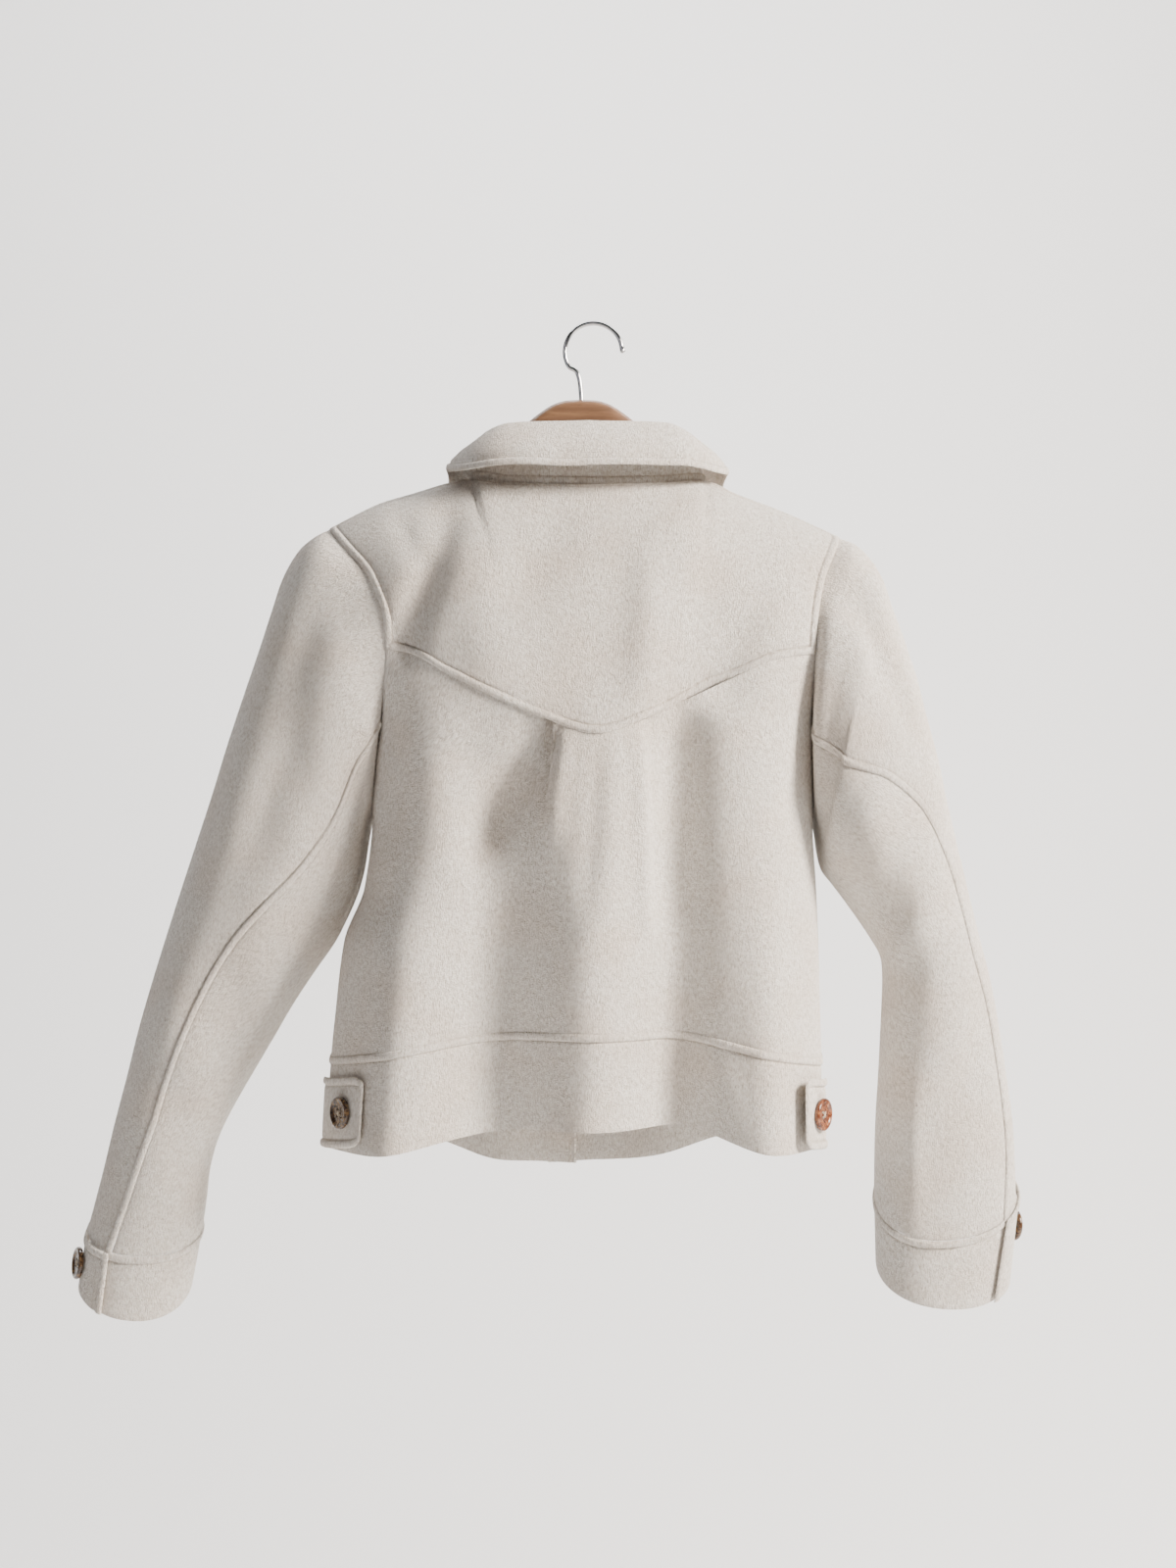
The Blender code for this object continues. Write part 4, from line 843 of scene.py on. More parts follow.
@dataclass(frozen=True)
class FrontPanels:
    """The two lapped fronts and their parts of the waistband."""

    form: JacketForm
    side_part: float = 0.235
    step_across: float = 0.0095
    step_down: float = 0.017
    neck_step: float = 2.2
    creases: tuple[Crease, ...] = (
        Crease(0.150, 0.200, 0.095, 0.270, 0.016, -0.0028),
        Crease(0.120, 0.330, 0.090, 0.470, 0.020, 0.0022),
        Crease(0.060, 0.240, 0.070, 0.360, 0.018, -0.0018),
    )

    def tops(self, side: Side) -> tuple[Grid, Grid, Grid]:
        """Return the top points of the columns, along the shoulder and the neck."""
        form = self.form
        part = fine([0.0, 0.012, self.side_part], self.step_across)
        part = part if side is Side.LEFT else 1 - part
        x = mix(form.armholes[Side.LEFT](0.0), form.armholes[Side.RIGHT](0.0), part)
        angles = fine([0.0, 22.0, 45.0, 65.0, 84.0, form.lap_angle(side)], self.neck_step)
        neck_x, neck_y, neck_drop = form.front_neck(side, angles)
        drop = np.concatenate([form.top_drop(x), neck_drop])
        return np.concatenate([x, neck_x]), np.concatenate([0 * x, neck_y]), drop

    def front_points(self, side: Side) -> Grid:
        """Return a front from the shoulder and neck down to its band."""
        form = self.form
        x_top, y_top, top = self.tops(side)
        heights = fine([0.0, 0.02, 0.07, 0.15, 0.24, 0.34, form.yoke_low, 0.56, 0.70, 0.84, 0.95, 1.0],
                       self.step_down)
        fall = mix(form.underarm_drop, form.front_seam(0.0), fine([0.0, 1.0], self.step_down)[1:])
        side_drop = np.concatenate([form.armhole_drop(side, heights), fall])
        gone = ((side_drop - side_drop[0]) / (side_drop[-1] - side_drop[0]))[:, None]
        part = ((x_top - x_top[0]) / (x_top[-1] - x_top[0]))[None, :]
        x = mix(form.side_edge(side, side_drop)[:, None], x_top[-1], part)
        drop = mix(top[None, :], form.front_seam(part), gone)
        y = mix(y_top[None, :], form.depth_at(x, drop, Face.FRONT), form.ridge(drop - top[None, :]))
        return np.stack([x, y + form.lap_rise(side, x), -drop], axis=-1)

    def band_points(self, side: Side) -> Grid:
        """Return a front part of the waistband."""
        form = self.form
        x_top, _, _ = self.tops(side)
        part = ((x_top - x_top[0]) / (x_top[-1] - x_top[0]))[None, :]
        step = fine([0.0, 1.0], 0.05)[:, None]
        drop = mix(form.front_seam(part), form.front_hem(part), step)
        edge = form.sides[side](mix(form.front_seam(0.0), form.front_hem(0.0), step))
        x = mix(edge, x_top[-1], part)
        y = form.depth_at(x, drop, Face.FRONT) + form.lap_rise(side, x)
        return np.stack([x, y, -drop], axis=-1)

    def build(self, finish: bpy.types.Material) -> None:
        """Make both fronts and both front bands."""
        for side in Side:
            out = -1 if side is Side.LEFT else 1
            creases = tuple(crease._replace(x_start=out * crease.x_start, x_end=out * crease.x_end)
                            for crease in self.creases)
            ClothPiece("front_" + side.value, self.front_points(side), Face.FRONT, "hanger_wood",
                       (Edge.FIRST, Edge.LAST), creases).build(finish)
            ClothPiece("waistband_" + side.value, self.band_points(side), Face.FRONT,
                       "front_%s_cloth" % side.value, (Edge.TOP, Edge.LAST)).build(finish)


class Ring(NamedTuple):
    """A ring of a sleeve.

    It has an outer and an inner edge, a forward shift, a half depth, how far its middle
    is drawn in, the back seam's angle and how much lower it is at the back.
    """

    out_x: float
    out_drop: float
    in_x: float
    in_drop: float
    forward: float
    depth: float
    drawn: float
    seam: float
    tilt: float


class Dent(NamedTuple):
    """A soft dent or ridge of a sleeve: ring, angle, half widths and height."""

    ring: float
    angle: float
    rings: float
    angles: float
    rise: float


@dataclass(frozen=True)
class Sleeve:
    """A two-piece sleeve and its cuff, lapped at the back slit."""

    form: JacketForm
    side: Side
    rings: tuple[Ring, ...]
    cuff_end: Ring
    dents: tuple[Dent, ...]
    power: float = 2.15
    seam_height: float = 0.70
    lap: float = 34.0
    lap_fade: float = 30.0
    step_angle: float = 2.8
    step_ring: float = 0.13
    cuff_step: float = 0.08

    @property
    def seam_angle(self) -> float:
        """Armhole angle, in degrees, at which the back seam starts."""
        return math.degrees(math.acos(1 - 2 * self.seam_height))

    def points_at(self, rings: Sequence[Ring], angles: Grid, swell: Grid) -> Grid:
        """Return points at angles, 0 outside, 90 at the back and 180 inside.

        Args:
            rings: One ring for each row.
            angles: Angles in degrees, rows by columns.
            swell: Height above the plain form, rows by columns.

        Returns:
            A grid of points.
        """
        size = {name: np.array([getattr(ring, name) for ring in rings])[:, None] for name in Ring._fields}
        cosine, sine = squared(np.radians(angles), self.power)
        half_x = (size["out_x"] - size["in_x"]) / 2
        half_z = (size["in_drop"] - size["out_drop"]) / 2
        grow = 1 + swell / np.hypot(half_x, half_z)
        inwards = 1 if self.side is Side.LEFT else -1
        x = (size["out_x"] + size["in_x"]) / 2 + inwards * size["drawn"] * sine * sine
        z = -(size["out_drop"] + size["in_drop"]) / 2 - size["tilt"] * sine
        y = size["forward"] - (size["depth"] + swell) * sine
        return np.stack([x + half_x * grow * cosine, y, z + half_z * grow * cosine], axis=-1)

    def armhole_row(self, angles: Grid) -> Grid:
        """Return the armhole at angles: 0 at the shoulder, 90 at the back."""
        form = self.form
        height = (1 - np.cos(np.radians(angles))) / 2
        drop = form.armhole_drop(self.side, height)
        x = form.armholes[self.side](height)
        below = form.ridge(drop - form.shoulder_at(self.side))
        back, front = (form.depth_at(x, drop, face) for face in (Face.BACK, Face.FRONT))
        y = np.where(np.sin(np.radians(angles)) > 0, -back, front) * below
        return np.stack([x, y, -drop], axis=-1)

    def dents_at(self, place: Grid, angles: Grid) -> Grid:
        """Return the height of the dents and ridges at places and angles."""
        total = np.zeros(angles.shape)
        for dent in self.dents:
            turn = (angles - dent.angle + 180) % 360 - 180
            near = ((place - dent.ring) / dent.rings) ** 2
            total += dent.rise * np.exp(-near - (turn / dent.angles) ** 2)
        return total

    def part_points(self, start: float, stop: float) -> Grid:
        """Return the sleeve between two armhole angles, from the armhole to the cuff."""
        base = self.seam_angle
        angles = fine([start, stop], self.step_angle)
        seam = np.array([ring.seam for ring in self.rings])[:, None]
        row = angles[None, :]
        above = row * seam / base
        below = mix(seam, 180, (row - base) / (180 - base))
        turned = np.where((row > base) & (row <= 180), below, row + 0 * seam)
        turned = np.where((row > 0) & (row <= base), above, turned)
        place = np.arange(1, len(self.rings) + 1)[:, None]
        rows = self.points_at(self.rings, turned, self.dents_at(place, turned))
        rows = np.concatenate([self.armhole_row(angles)[None], rows])
        return resample(rows, fine([0.0, float(len(self.rings))], self.step_ring))

    def cuff_ring(self, part: float) -> Ring:
        """Return the cuff's ring, a part of the way down it."""
        return Ring(*[mix(a, b, part) for a, b in zip(self.rings[-1], self.cuff_end)])

    def cuff_points(self) -> Grid:
        """Return the cuff, whose end laps over its start at the slit."""
        rings = [self.cuff_ring(part) for part in fine([0.0, 1.0], self.cuff_step)]
        gone = fine([0.0, 360.0 + self.lap], self.step_angle)[None, :]
        seam = np.array([ring.seam for ring in rings])[:, None]
        lift = self.form.layer * (1 - smooth((gone - self.lap) / self.lap_fade))
        return self.points_at(rings, seam - gone, lift + 0 * seam)

    def build(self, finish: bpy.types.Material) -> None:
        """Make the upper sleeve, the under sleeve and the cuff."""
        base = self.seam_angle
        side = self.side.value
        upper, under, cuff = "sleeve_upper_" + side, "sleeve_under_" + side, "cuff_" + side
        for node, points, rests_on, welts in (
                (upper, self.part_points(-base, base), "back_yoke_cloth", (Edge.LAST,)),
                (under, self.part_points(base, 360 - base), upper + "_cloth", ()),
                (cuff, self.cuff_points(), upper + "_cloth", (Edge.TOP, Edge.FIRST))):
            ClothPiece(node, points, Face.AROUND, rests_on, welts).build(finish)


LEFT_RINGS = (
    Ring(-0.2176, 0.1660, -0.1765, 0.3930, 0.002, 0.060, 0.022, 117, 0.0000),
    Ring(-0.2307, 0.1770, -0.1775, 0.4030, 0.004, 0.064, 0.016, 119, 0.0000),
    Ring(-0.2430, 0.1975, -0.1790, 0.4160, 0.006, 0.066, 0.011, 121, 0.0000),
    Ring(-0.2522, 0.2240, -0.1815, 0.4320, 0.008, 0.067, 0.007, 121, 0.0000),
    Ring(-0.2622, 0.2538, -0.1870, 0.4500, 0.010, 0.067, 0.004, 119, 0.0000),
    Ring(-0.2753, 0.2922, -0.1955, 0.4690, 0.011, 0.066, 0.001, 116, 0.0000),
    Ring(-0.2876, 0.3291, -0.2045, 0.4860, 0.012, 0.064, 0.000, 111, 0.0000),
    Ring(-0.2991, 0.3661, -0.2207, 0.5090, 0.013, 0.061, 0.000, 104, 0.0000),
    Ring(-0.3115, 0.4030, -0.2376, 0.5345, 0.014, 0.057, 0.000, 97, 0.0000),
    Ring(-0.3237, 0.4399, -0.2538, 0.5622, 0.014, 0.053, 0.000, 92, 0.0000),
    Ring(-0.3360, 0.4776, -0.2684, 0.5875, 0.014, 0.050, 0.000, 89, 0.0020),
    Ring(-0.3476, 0.5145, -0.2815, 0.6129, 0.014, 0.047, 0.000, 87, 0.0040),
    Ring(-0.3584, 0.5514, -0.2915, 0.6314, 0.014, 0.044, 0.000, 86, 0.0060),
    Ring(-0.3676, 0.5883, -0.2991, 0.6483, 0.014, 0.042, 0.000, 85, 0.0080),
    Ring(-0.3776, 0.6260, -0.3038, 0.6675, 0.014, 0.040, 0.000, 80, 0.0100),
    Ring(-0.3868, 0.6637, -0.3061, 0.6890, 0.014, 0.038, 0.000, 73, 0.0125),
    Ring(-0.3985, 0.7080, -0.3091, 0.7121, 0.014, 0.037, 0.000, 66, 0.0150),
)
RIGHT_RINGS = (
    Ring(0.2053, 0.1725, 0.1750, 0.3930, 0.000, 0.060, 0.019, 113, 0.0000),
    Ring(0.2163, 0.1830, 0.1758, 0.4020, 0.000, 0.065, 0.013, 111, 0.0000),
    Ring(0.2263, 0.1995, 0.1768, 0.4110, 0.000, 0.069, 0.009, 108, 0.0000),
    Ring(0.2340, 0.2215, 0.1782, 0.4200, 0.001, 0.071, 0.011, 103, 0.0000),
    Ring(0.2438, 0.2476, 0.1805, 0.4290, 0.002, 0.070, 0.007, 96, 0.0000),
    Ring(0.2538, 0.2784, 0.1884, 0.4391, 0.003, 0.068, 0.004, 88, 0.0000),
    Ring(0.2615, 0.3084, 0.1984, 0.4522, 0.004, 0.065, 0.001, 80, 0.0000),
    Ring(0.2699, 0.3391, 0.2084, 0.4660, 0.005, 0.062, 0.000, 71, 0.0000),
    Ring(0.2776, 0.3714, 0.2184, 0.4806, 0.006, 0.058, 0.000, 62, 0.0020),
    Ring(0.2861, 0.4060, 0.2269, 0.4953, 0.007, 0.054, 0.000, 54, 0.0050),
    Ring(0.2953, 0.4445, 0.2292, 0.5137, 0.008, 0.051, 0.000, 48, 0.0080),
    Ring(0.3045, 0.4791, 0.2276, 0.5445, 0.010, 0.048, 0.000, 43, 0.0120),
    Ring(0.3138, 0.5137, 0.2269, 0.5714, 0.012, 0.044, 0.000, 38, 0.0160),
    Ring(0.3207, 0.5483, 0.2261, 0.5983, 0.014, 0.041, 0.000, 35, 0.0200),
    Ring(0.3276, 0.5906, 0.2246, 0.6252, 0.016, 0.038, 0.000, 34, 0.0240),
    Ring(0.3330, 0.6290, 0.2238, 0.6560, 0.018, 0.036, 0.000, 36, 0.0280),
    Ring(0.3355, 0.6790, 0.2238, 0.6900, 0.020, 0.035, 0.000, 43, 0.0300),
)
LEFT_CUFF = Ring(-0.4045, 0.7440, -0.3168, 0.7540, 0.014, 0.036, 0.000, 66, 0.0260)
RIGHT_CUFF = Ring(0.3290, 0.7460, 0.2253, 0.7420, 0.022, 0.034, 0.000, 50, 0.0250)
LEFT_DENTS = (
    Dent(3.0, 60, 2.2, 16, -0.007), Dent(6.0, 80, 2.4, 14, -0.005), Dent(9.0, 130, 1.2, 24, 0.004),
    Dent(10.6, 125, 0.9, 26, -0.005), Dent(12.0, 40, 1.8, 18, -0.003), Dent(8.0, 300, 2.0, 20, -0.005),
    Dent(13.6, 110, 0.7, 22, -0.0025), Dent(11.8, 60, 0.8, 26, 0.0022), Dent(7.4, 45, 1.0, 20, 0.0020),
    Dent(15.4, 50, 0.8, 20, -0.0020), Dent(12.4, 200, 0.8, 30, -0.003), Dent(10.2, 240, 0.8, 30, 0.003),
)
RIGHT_DENTS = (
    Dent(3.4, 52, 2.6, 13, -0.009), Dent(6.0, 100, 1.4, 22, 0.005), Dent(8.6, 118, 1.0, 26, -0.005),
    Dent(10.0, 150, 1.2, 24, 0.004), Dent(11.4, 120, 0.9, 30, -0.004), Dent(9.0, 290, 2.0, 20, -0.005),
    Dent(12.8, 80, 0.7, 24, 0.0022), Dent(13.8, 70, 0.7, 26, -0.0025), Dent(9.4, 30, 0.9, 22, -0.0020),
    Dent(15.2, 120, 1.4, 9, 0.0035), Dent(12.2, 220, 0.8, 30, -0.003), Dent(10.4, 250, 0.8, 30, 0.003),
)


class CollarRow(NamedTuple):
    """The collar's sizes from the centre back (0) past the shoulder (1) to the front (2)."""

    place: float
    rise: float
    lean: float
    out: float
    down: float


@dataclass(frozen=True)
class Collar:
    """Stand and turned-down fall, along the neck seam."""

    form: JacketForm
    step_angle: float = 2.0
    step_across: float = 0.0028
    fall_lift: float = 0.0012
    fall_bulge: float = 0.004
    wave: float = 0.0011
    rows: tuple[CollarRow, ...] = (
        CollarRow(0.00, 0.0450, 0.004, 0.034, 0.034), CollarRow(0.45, 0.0430, 0.004, 0.033, 0.034),
        CollarRow(0.65, 0.0350, 0.004, 0.030, 0.031), CollarRow(0.80, 0.0270, 0.004, 0.026, 0.024),
        CollarRow(1.00, 0.0200, 0.003, 0.022, 0.013), CollarRow(1.25, 0.0200, 0.002, 0.040, 0.014),
        CollarRow(1.55, 0.0190, 0.002, 0.040, 0.030), CollarRow(1.93, 0.0180, 0.002, 0.030, 0.046),
    )
    fold: tuple[tuple[float, float], ...] = (
        (-0.0056, -0.0070), (-0.0048, 0.0004), (-0.0010, 0.0036), (0.0036, 0.0022),
    )

    def frames(self) -> tuple[Grid, Grid, dict[str, Grid]]:
        """Return the neck points, and the outward direction and the sizes at each."""
        form = self.form
        angles = fine([0.0, 22.0, 45.0, 65.0, 84.0], self.step_angle)[1:]
        left_x, left_y, left_drop = form.front_neck(Side.LEFT, angles[::-1])
        right_x, right_y, right_drop = form.front_neck(Side.RIGHT, angles)
        right_y = right_y + form.lap_rise(Side.RIGHT, right_x)
        across = fine([form.neck_left, form.neck_right], self.step_across)
        around = np.clip((across - form.neck_middle) / form.neck_half, -1.0, 1.0)
        back = np.abs(np.arcsin(around)) / (math.pi / 2)
        place = np.concatenate([1 + angles[::-1] / 90, back, 1 + angles / 90])
        x = np.concatenate([left_x, across, right_x])
        y = np.concatenate([left_y, form.neck_back_y(across), right_y])
        drop = np.concatenate([left_drop, form.top_drop(across), right_drop])
        run = np.gradient(np.stack([x, y], axis=-1), axis=0)
        run /= np.linalg.norm(run, axis=1, keepdims=True)
        out = np.stack([run[:, 1], -run[:, 0], 0 * x], axis=-1)
        sizes = {name: Curve.column(self.rows, name)(place)[:, None] for name in CollarRow._fields[1:]}
        return np.stack([x, y, -drop], axis=-1), out, sizes

    def stand_points(self) -> Grid:
        """Return the stand, from its top down to the neck seam."""
        points, out, size = self.frames()
        return np.array([points - out * size["lean"] * part + UP * size["rise"] * part
                         for part in fine([0.0, 1.0], 0.12)[::-1]])

    def fall_points(self) -> Grid:
        """Return the fall, from inside the fold over and down to its edge."""
        points, out, size = self.frames()
        folds = points - out * size["lean"] + UP * size["rise"]
        rows = [folds + out * outward + UP * (rise + self.fall_lift) for outward, rise in self.fold]
        end = folds + out * size["out"] - UP * size["down"]
        along = np.cumsum(np.linalg.norm(np.gradient(points, axis=0), axis=1))
        wave = self.wave * (np.sin(along * 47.0) + 0.6 * np.sin(along * 101.0 + 1.0))[:, None]
        for part in (0.33, 0.66, 1.0):
            bulge = self.fall_bulge * math.sin(math.pi * part) + wave * part
            rows.append(mix(rows[3], end, part) + (out + UP * 0.6) * bulge)
        return resample(np.array(rows), fine([0.0, 6.0], 0.16))

    def build(self, finish: bpy.types.Material) -> None:
        """Make the stand and the fall."""
        ends = (Edge.LOW, Edge.FIRST, Edge.LAST)
        for node, points, rests_on, welts in (
                ("collar_stand", self.stand_points(), "back_yoke_cloth", (Edge.LOW,)),
                ("collar_fall", self.fall_points(), "collar_stand_cloth", ends)):
            ClothPiece(node, points, Face.AROUND, rests_on, welts, held=Held.FOLDED).build(finish)


@dataclass(frozen=True)
class WaistTab:
    """An adjusting tab on the waistband, from the side seam towards the middle."""

    form: JacketForm
    side: Side
    length: float
    lift: float
    clear: float
    start: float = 0.004
    spacing: float = 1.6
    top: float = 0.016
    height: float = 0.054
    corner: float = 0.008
    corner_from: float = 0.8
    normal_step: float = 0.004

    def band_point(self, part: Grid, down: Grid) -> Grid:
        """Return points of the back band, across and below its seam."""
        form = self.form
        drop = form.back_seam(part) + down
        x = mix(form.sides[Side.LEFT](drop), form.sides[Side.RIGHT](drop), part)
        return np.stack([x, form.back_y(x, drop, x), -drop], axis=-1)

    def point(self, along: Grid, down: Grid, above: float = 0.0) -> tuple[Grid, Grid]:
        """Return points of the tab's outer face and the outward directions there."""
        part = self.start + self.length * along**self.spacing
        part = part if self.side is Side.LEFT else 1 - part
        step = self.normal_step
        near = np.clip(part, step, 1 - step)
        across = self.band_point(near + step, down) - self.band_point(near - step, down)
        up = self.band_point(near, down - step) - self.band_point(near, down + step)
        normal = np.cross(across, up)
        normal /= np.linalg.norm(normal, axis=-1, keepdims=True)
        lift = self.form.wall + self.clear + self.lift * along + above
        return self.band_point(part, down) + normal * np.asarray(lift)[..., None], normal

    def points(self) -> Grid:
        """Return the tab with its two round corners."""
        along = fine([0.0, self.corner_from, 1.0], 0.045)[None, :]
        step = fine([0.0, 1.0], 0.05)[:, None]
        turn = np.clip((along - self.corner_from) / (1 - self.corner_from), 0.0, 1.0)
        cut = self.corner * (1 - np.sqrt(1 - 0.96 * turn * turn))
        down = self.top + mix(cut, self.height - cut, step)
        return self.point(along + 0 * step, down)[0]

    def build(self, finish: bpy.types.Material) -> None:
        """Make the tab."""
        ClothPiece("waist_tab_" + self.side.value, self.points(), Face.BACK, "waistband_back_cloth",
                   (Edge.TOP, Edge.LOW, Edge.LAST), held=Held.LAID).build(finish)


def tube_mesh(name: str, rings: Grid) -> bpy.types.Mesh:
    """Make a tube from rings of points, whose first and last rings shut to a point.

    Args:
        name: Name of the mesh.
        rings: One ring of points for each row; its last point repeats the first.

    Returns:
        A smooth closed mesh.
    """
    first, last = [np.repeat(end.mean(axis=1, keepdims=True), rings.shape[1], axis=1)
                   for end in (rings[:1], rings[-1:])]
    build = bent_grid(np.concatenate([first, rings, last]))
    bmesh.ops.remove_doubles(build, verts=build.verts, dist=1e-6)
    bmesh.ops.recalc_face_normals(build, faces=build.faces)
    mesh = finished_mesh(name, build)
    mesh.set_sharp_from_angle(angle=SHARP)
    return mesh


@dataclass(frozen=True)
class Button:
    """A turned horn button with four holes and its thread."""

    radius: float = 0.0125
    thick: float = 0.0040
    hole_radius: float = 0.0011
    hole_place: float = 0.0024
    hole_depth: float = 0.0018
    thread: float = 0.0006
    thread_shift: float = 0.45
    thread_sink: float = 0.0009
    thread_arch: float = 0.0016
    thread_slant: float = 0.7
    reach_over: float = 1.02
    face_height: float = 0.60
    face_part: float = 0.5
    around: int = 72
    profile: tuple[tuple[float, float], ...] = (
        (0.00, 0.60), (0.16, 0.60), (0.36, 0.61), (0.55, 0.63), (0.66, 0.72), (0.76, 0.92), (0.82, 1.00),
        (0.88, 1.00), (0.94, 0.92), (0.985, 0.74), (1.00, 0.50), (0.985, 0.24), (0.93, 0.06), (0.86, 0.00),
    )

    def face_at(self, across: Grid, height: Grid, turn: Grid) -> Grid:
        """Return the height of the face with its four holes pressed in."""
        x, y = across * np.cos(turn), across * np.sin(turn)
        for sign_x, sign_y in ((1, 1), (1, -1), (-1, 1), (-1, -1)):
            gap = np.hypot(x - sign_x * self.hole_place, y - sign_y * self.hole_place)
            height = height - self.hole_depth * smooth(1.6 - 1.3 * gap / self.hole_radius)
        return height

    def build(self, name: str, place: Grid, facing: Grid, finish: bpy.types.Material,
              thread: bpy.types.Material) -> None:
        """Make a button with its back at a place on the cloth.

        Args:
            name: Node that the button stands for.
            place: Middle of its back.
            facing: Direction that its face looks in.
            finish: Horn.
            thread: Sewing thread.
        """
        shape, rise = [Curve(range(len(self.profile)), values) for values in zip(*self.profile)]
        rows = np.concatenate([np.linspace(0.02, 4, 30), fine([4.0, len(self.profile) - 1.0], 0.34)[1:]])
        turn = np.linspace(0, 2 * math.pi, self.around + 1)[None, :]
        across = (self.radius * shape(rows))[:, None] + 0 * turn
        height = (self.thick * rise(rows))[:, None] + 0 * turn
        height = np.where(across < self.radius * self.face_part, self.face_at(across, height, turn), height)
        local = np.stack([across * np.cos(turn), across * np.sin(turn), height], axis=-1)
        normal = np.array(facing, float) / np.linalg.norm(facing)
        side = np.cross(UP, normal)
        side /= np.linalg.norm(side)
        axes = np.stack([side, np.cross(normal, side), normal])
        mesh = tube_mesh(name + "_horn", local @ axes + place)
        add_piece(name + "_horn", mesh, finish, name)
        build = bmesh.new()
        for slant in (-1, 1):
            for shift in (-self.thread_shift, self.thread_shift):
                strand = self.strand(slant, shift * self.thread * 2) @ axes + place
                build.from_mesh(tube_mesh(name + "_strand", strand))
        add_piece(name + "_thread", finished_mesh(name + "_thread", build), thread)

    def strand(self, slant: int, shift: float) -> Grid:
        """Return one arched strand of the thread cross, from hole to hole."""
        part = np.linspace(0, 1, 11)[:, None]
        turn = np.linspace(0, 2 * math.pi, 9)[None, :]
        reach = self.hole_place * self.reach_over
        along = mix(-reach, reach, part)
        bow = self.thread_arch * np.sqrt(np.clip(1 - (2 * part - 1) ** 2, 0, 1))
        arch = self.thick * self.face_height - self.thread_sink + bow
        arch = arch + self.thread / 2 * np.sin(turn)
        wide = (shift + self.thread / 2 * np.cos(turn)) * self.thread_slant
        return np.stack([along + wide, slant * (along + 0 * turn) - slant * wide, arch], axis=-1)


class HangerRow(NamedTuple):
    """Drop of the top edge, height and thickness at a distance from the middle."""

    out: float
    drop: float
    height: float
    thick: float


@dataclass(frozen=True)
class Hanger:
    """The wooden hanger and its bent wire hook."""

    form: JacketForm
    middle: float = -0.009
    reach_left: float = -0.197
    reach_right: float = 0.184
    clear: float = 0.0050
    power: float = 2.3
    around: int = 32
    arch_row: int = 7
    arch_part: float = 0.9
    wire: float = 0.00175
    bend: float = 0.0225
    rows: tuple[HangerRow, ...] = (
        HangerRow(0.000, 0.0585, 0.034, 0.0150), HangerRow(0.010, 0.0588, 0.034, 0.0150),
        HangerRow(0.020, 0.0612, 0.033, 0.0150), HangerRow(0.035, 0.0705, 0.031, 0.0148),
        HangerRow(0.047, 0.0812, 0.029, 0.0145), HangerRow(0.060, 0.0962, 0.027, 0.0140),
        HangerRow(0.072, 0.1150, 0.025, 0.0130), HangerRow(0.084, 0.1300, 0.022, 0.0120),
        HangerRow(0.120, 0.1310, 0.021, 0.0115), HangerRow(0.200, 0.1400, 0.019, 0.0105),
    )

    def wood_rings(self) -> Grid:
        """Return the arms' rounded sections from end to end."""
        x = fine([self.reach_left, self.middle, self.reach_right], 0.004)
        out = np.abs(x - self.middle)
        ends = np.minimum(x - self.reach_left, self.reach_right - x)
        shrink = 0.62 + 0.38 * np.sqrt(np.clip(1 - (1 - np.clip(ends / 0.008, 0, 1)) ** 2, 0, 1))
        height, thick = (Curve.column(self.rows, name)(out) for name in ("height", "thick"))
        arch = Curve.column(self.rows, "drop")(out)
        under = np.maximum(arch, self.form.top_drop(x) + self.clear)
        top = np.where(out < self.rows[self.arch_row].out * self.arch_part, arch, under)
        turn = np.linspace(0, 2 * math.pi, self.around + 1)[None, :]
        cosine, sine = squared(turn, self.power)
        middle = (-top - height / 2)[:, None]
        return np.stack([x[:, None] + 0 * turn, (thick * shrink / 2)[:, None] * cosine,
                         middle + (height * shrink / 2)[:, None] * sine], axis=-1)

    def hook_rings(self) -> Grid:
        """Return the wire's rings from the wood up, over the bend and to its tip."""
        centre_x, centre_z = 0.0005, self.wire - self.bend
        stem = [(self.middle, -0.0605), (self.middle, -0.0586), (self.middle - 0.0005, -0.0520),
                (self.middle - 0.0010, -0.0465), (self.middle - 0.0020, -0.0410),
                (self.middle - 0.0045, -0.0355)]
        turns = np.radians(np.linspace(212, 8, 17))
        arc = [(centre_x + self.bend * math.cos(t), centre_z + self.bend * math.sin(t)) for t in turns]
        route = np.array([[(x, 0.0, z)] for x, z in stem + arc + [(0.0238, -0.0218)]])
        count = len(route) - 1
        places = fine([0.0, float(count)], 0.2)
        path = resample(route, places)[:, 0]
        run = np.gradient(path, axis=0)
        run /= np.linalg.norm(run, axis=1, keepdims=True)
        side = np.stack([run[:, 2], 0 * places, -run[:, 0]], axis=-1)
        left = count - places
        ball = 1 + 0.22 * np.exp(-(((left - 0.55) / 0.5) ** 2))
        tip = np.sqrt(np.clip(1 - np.clip(1 - left / 0.5, 0, 1) ** 2, 0.02, 1))
        radius = (self.wire * ball * tip)[:, None, None]
        turn = np.linspace(0, 2 * math.pi, 25)[None, :, None]
        round_it = np.cos(turn) * side[:, None] + np.sin(turn) * np.array([0.0, 1.0, 0.0])
        return path[:, None] + radius * round_it

    def build(self, wood: bpy.types.Material, chrome: bpy.types.Material) -> None:
        """Make the wooden arms and the hook."""
        for name, rings, finish, slot, node in (
                ("hanger_wood_arms", self.wood_rings(), wood, Slot.WOOD, "hanger_wood"),
                ("hanger_hook_wire", self.hook_rings(), chrome, Slot.CHROME, "hanger_hook")):
            add_piece(name, tube_mesh(name, rings), finish, node)


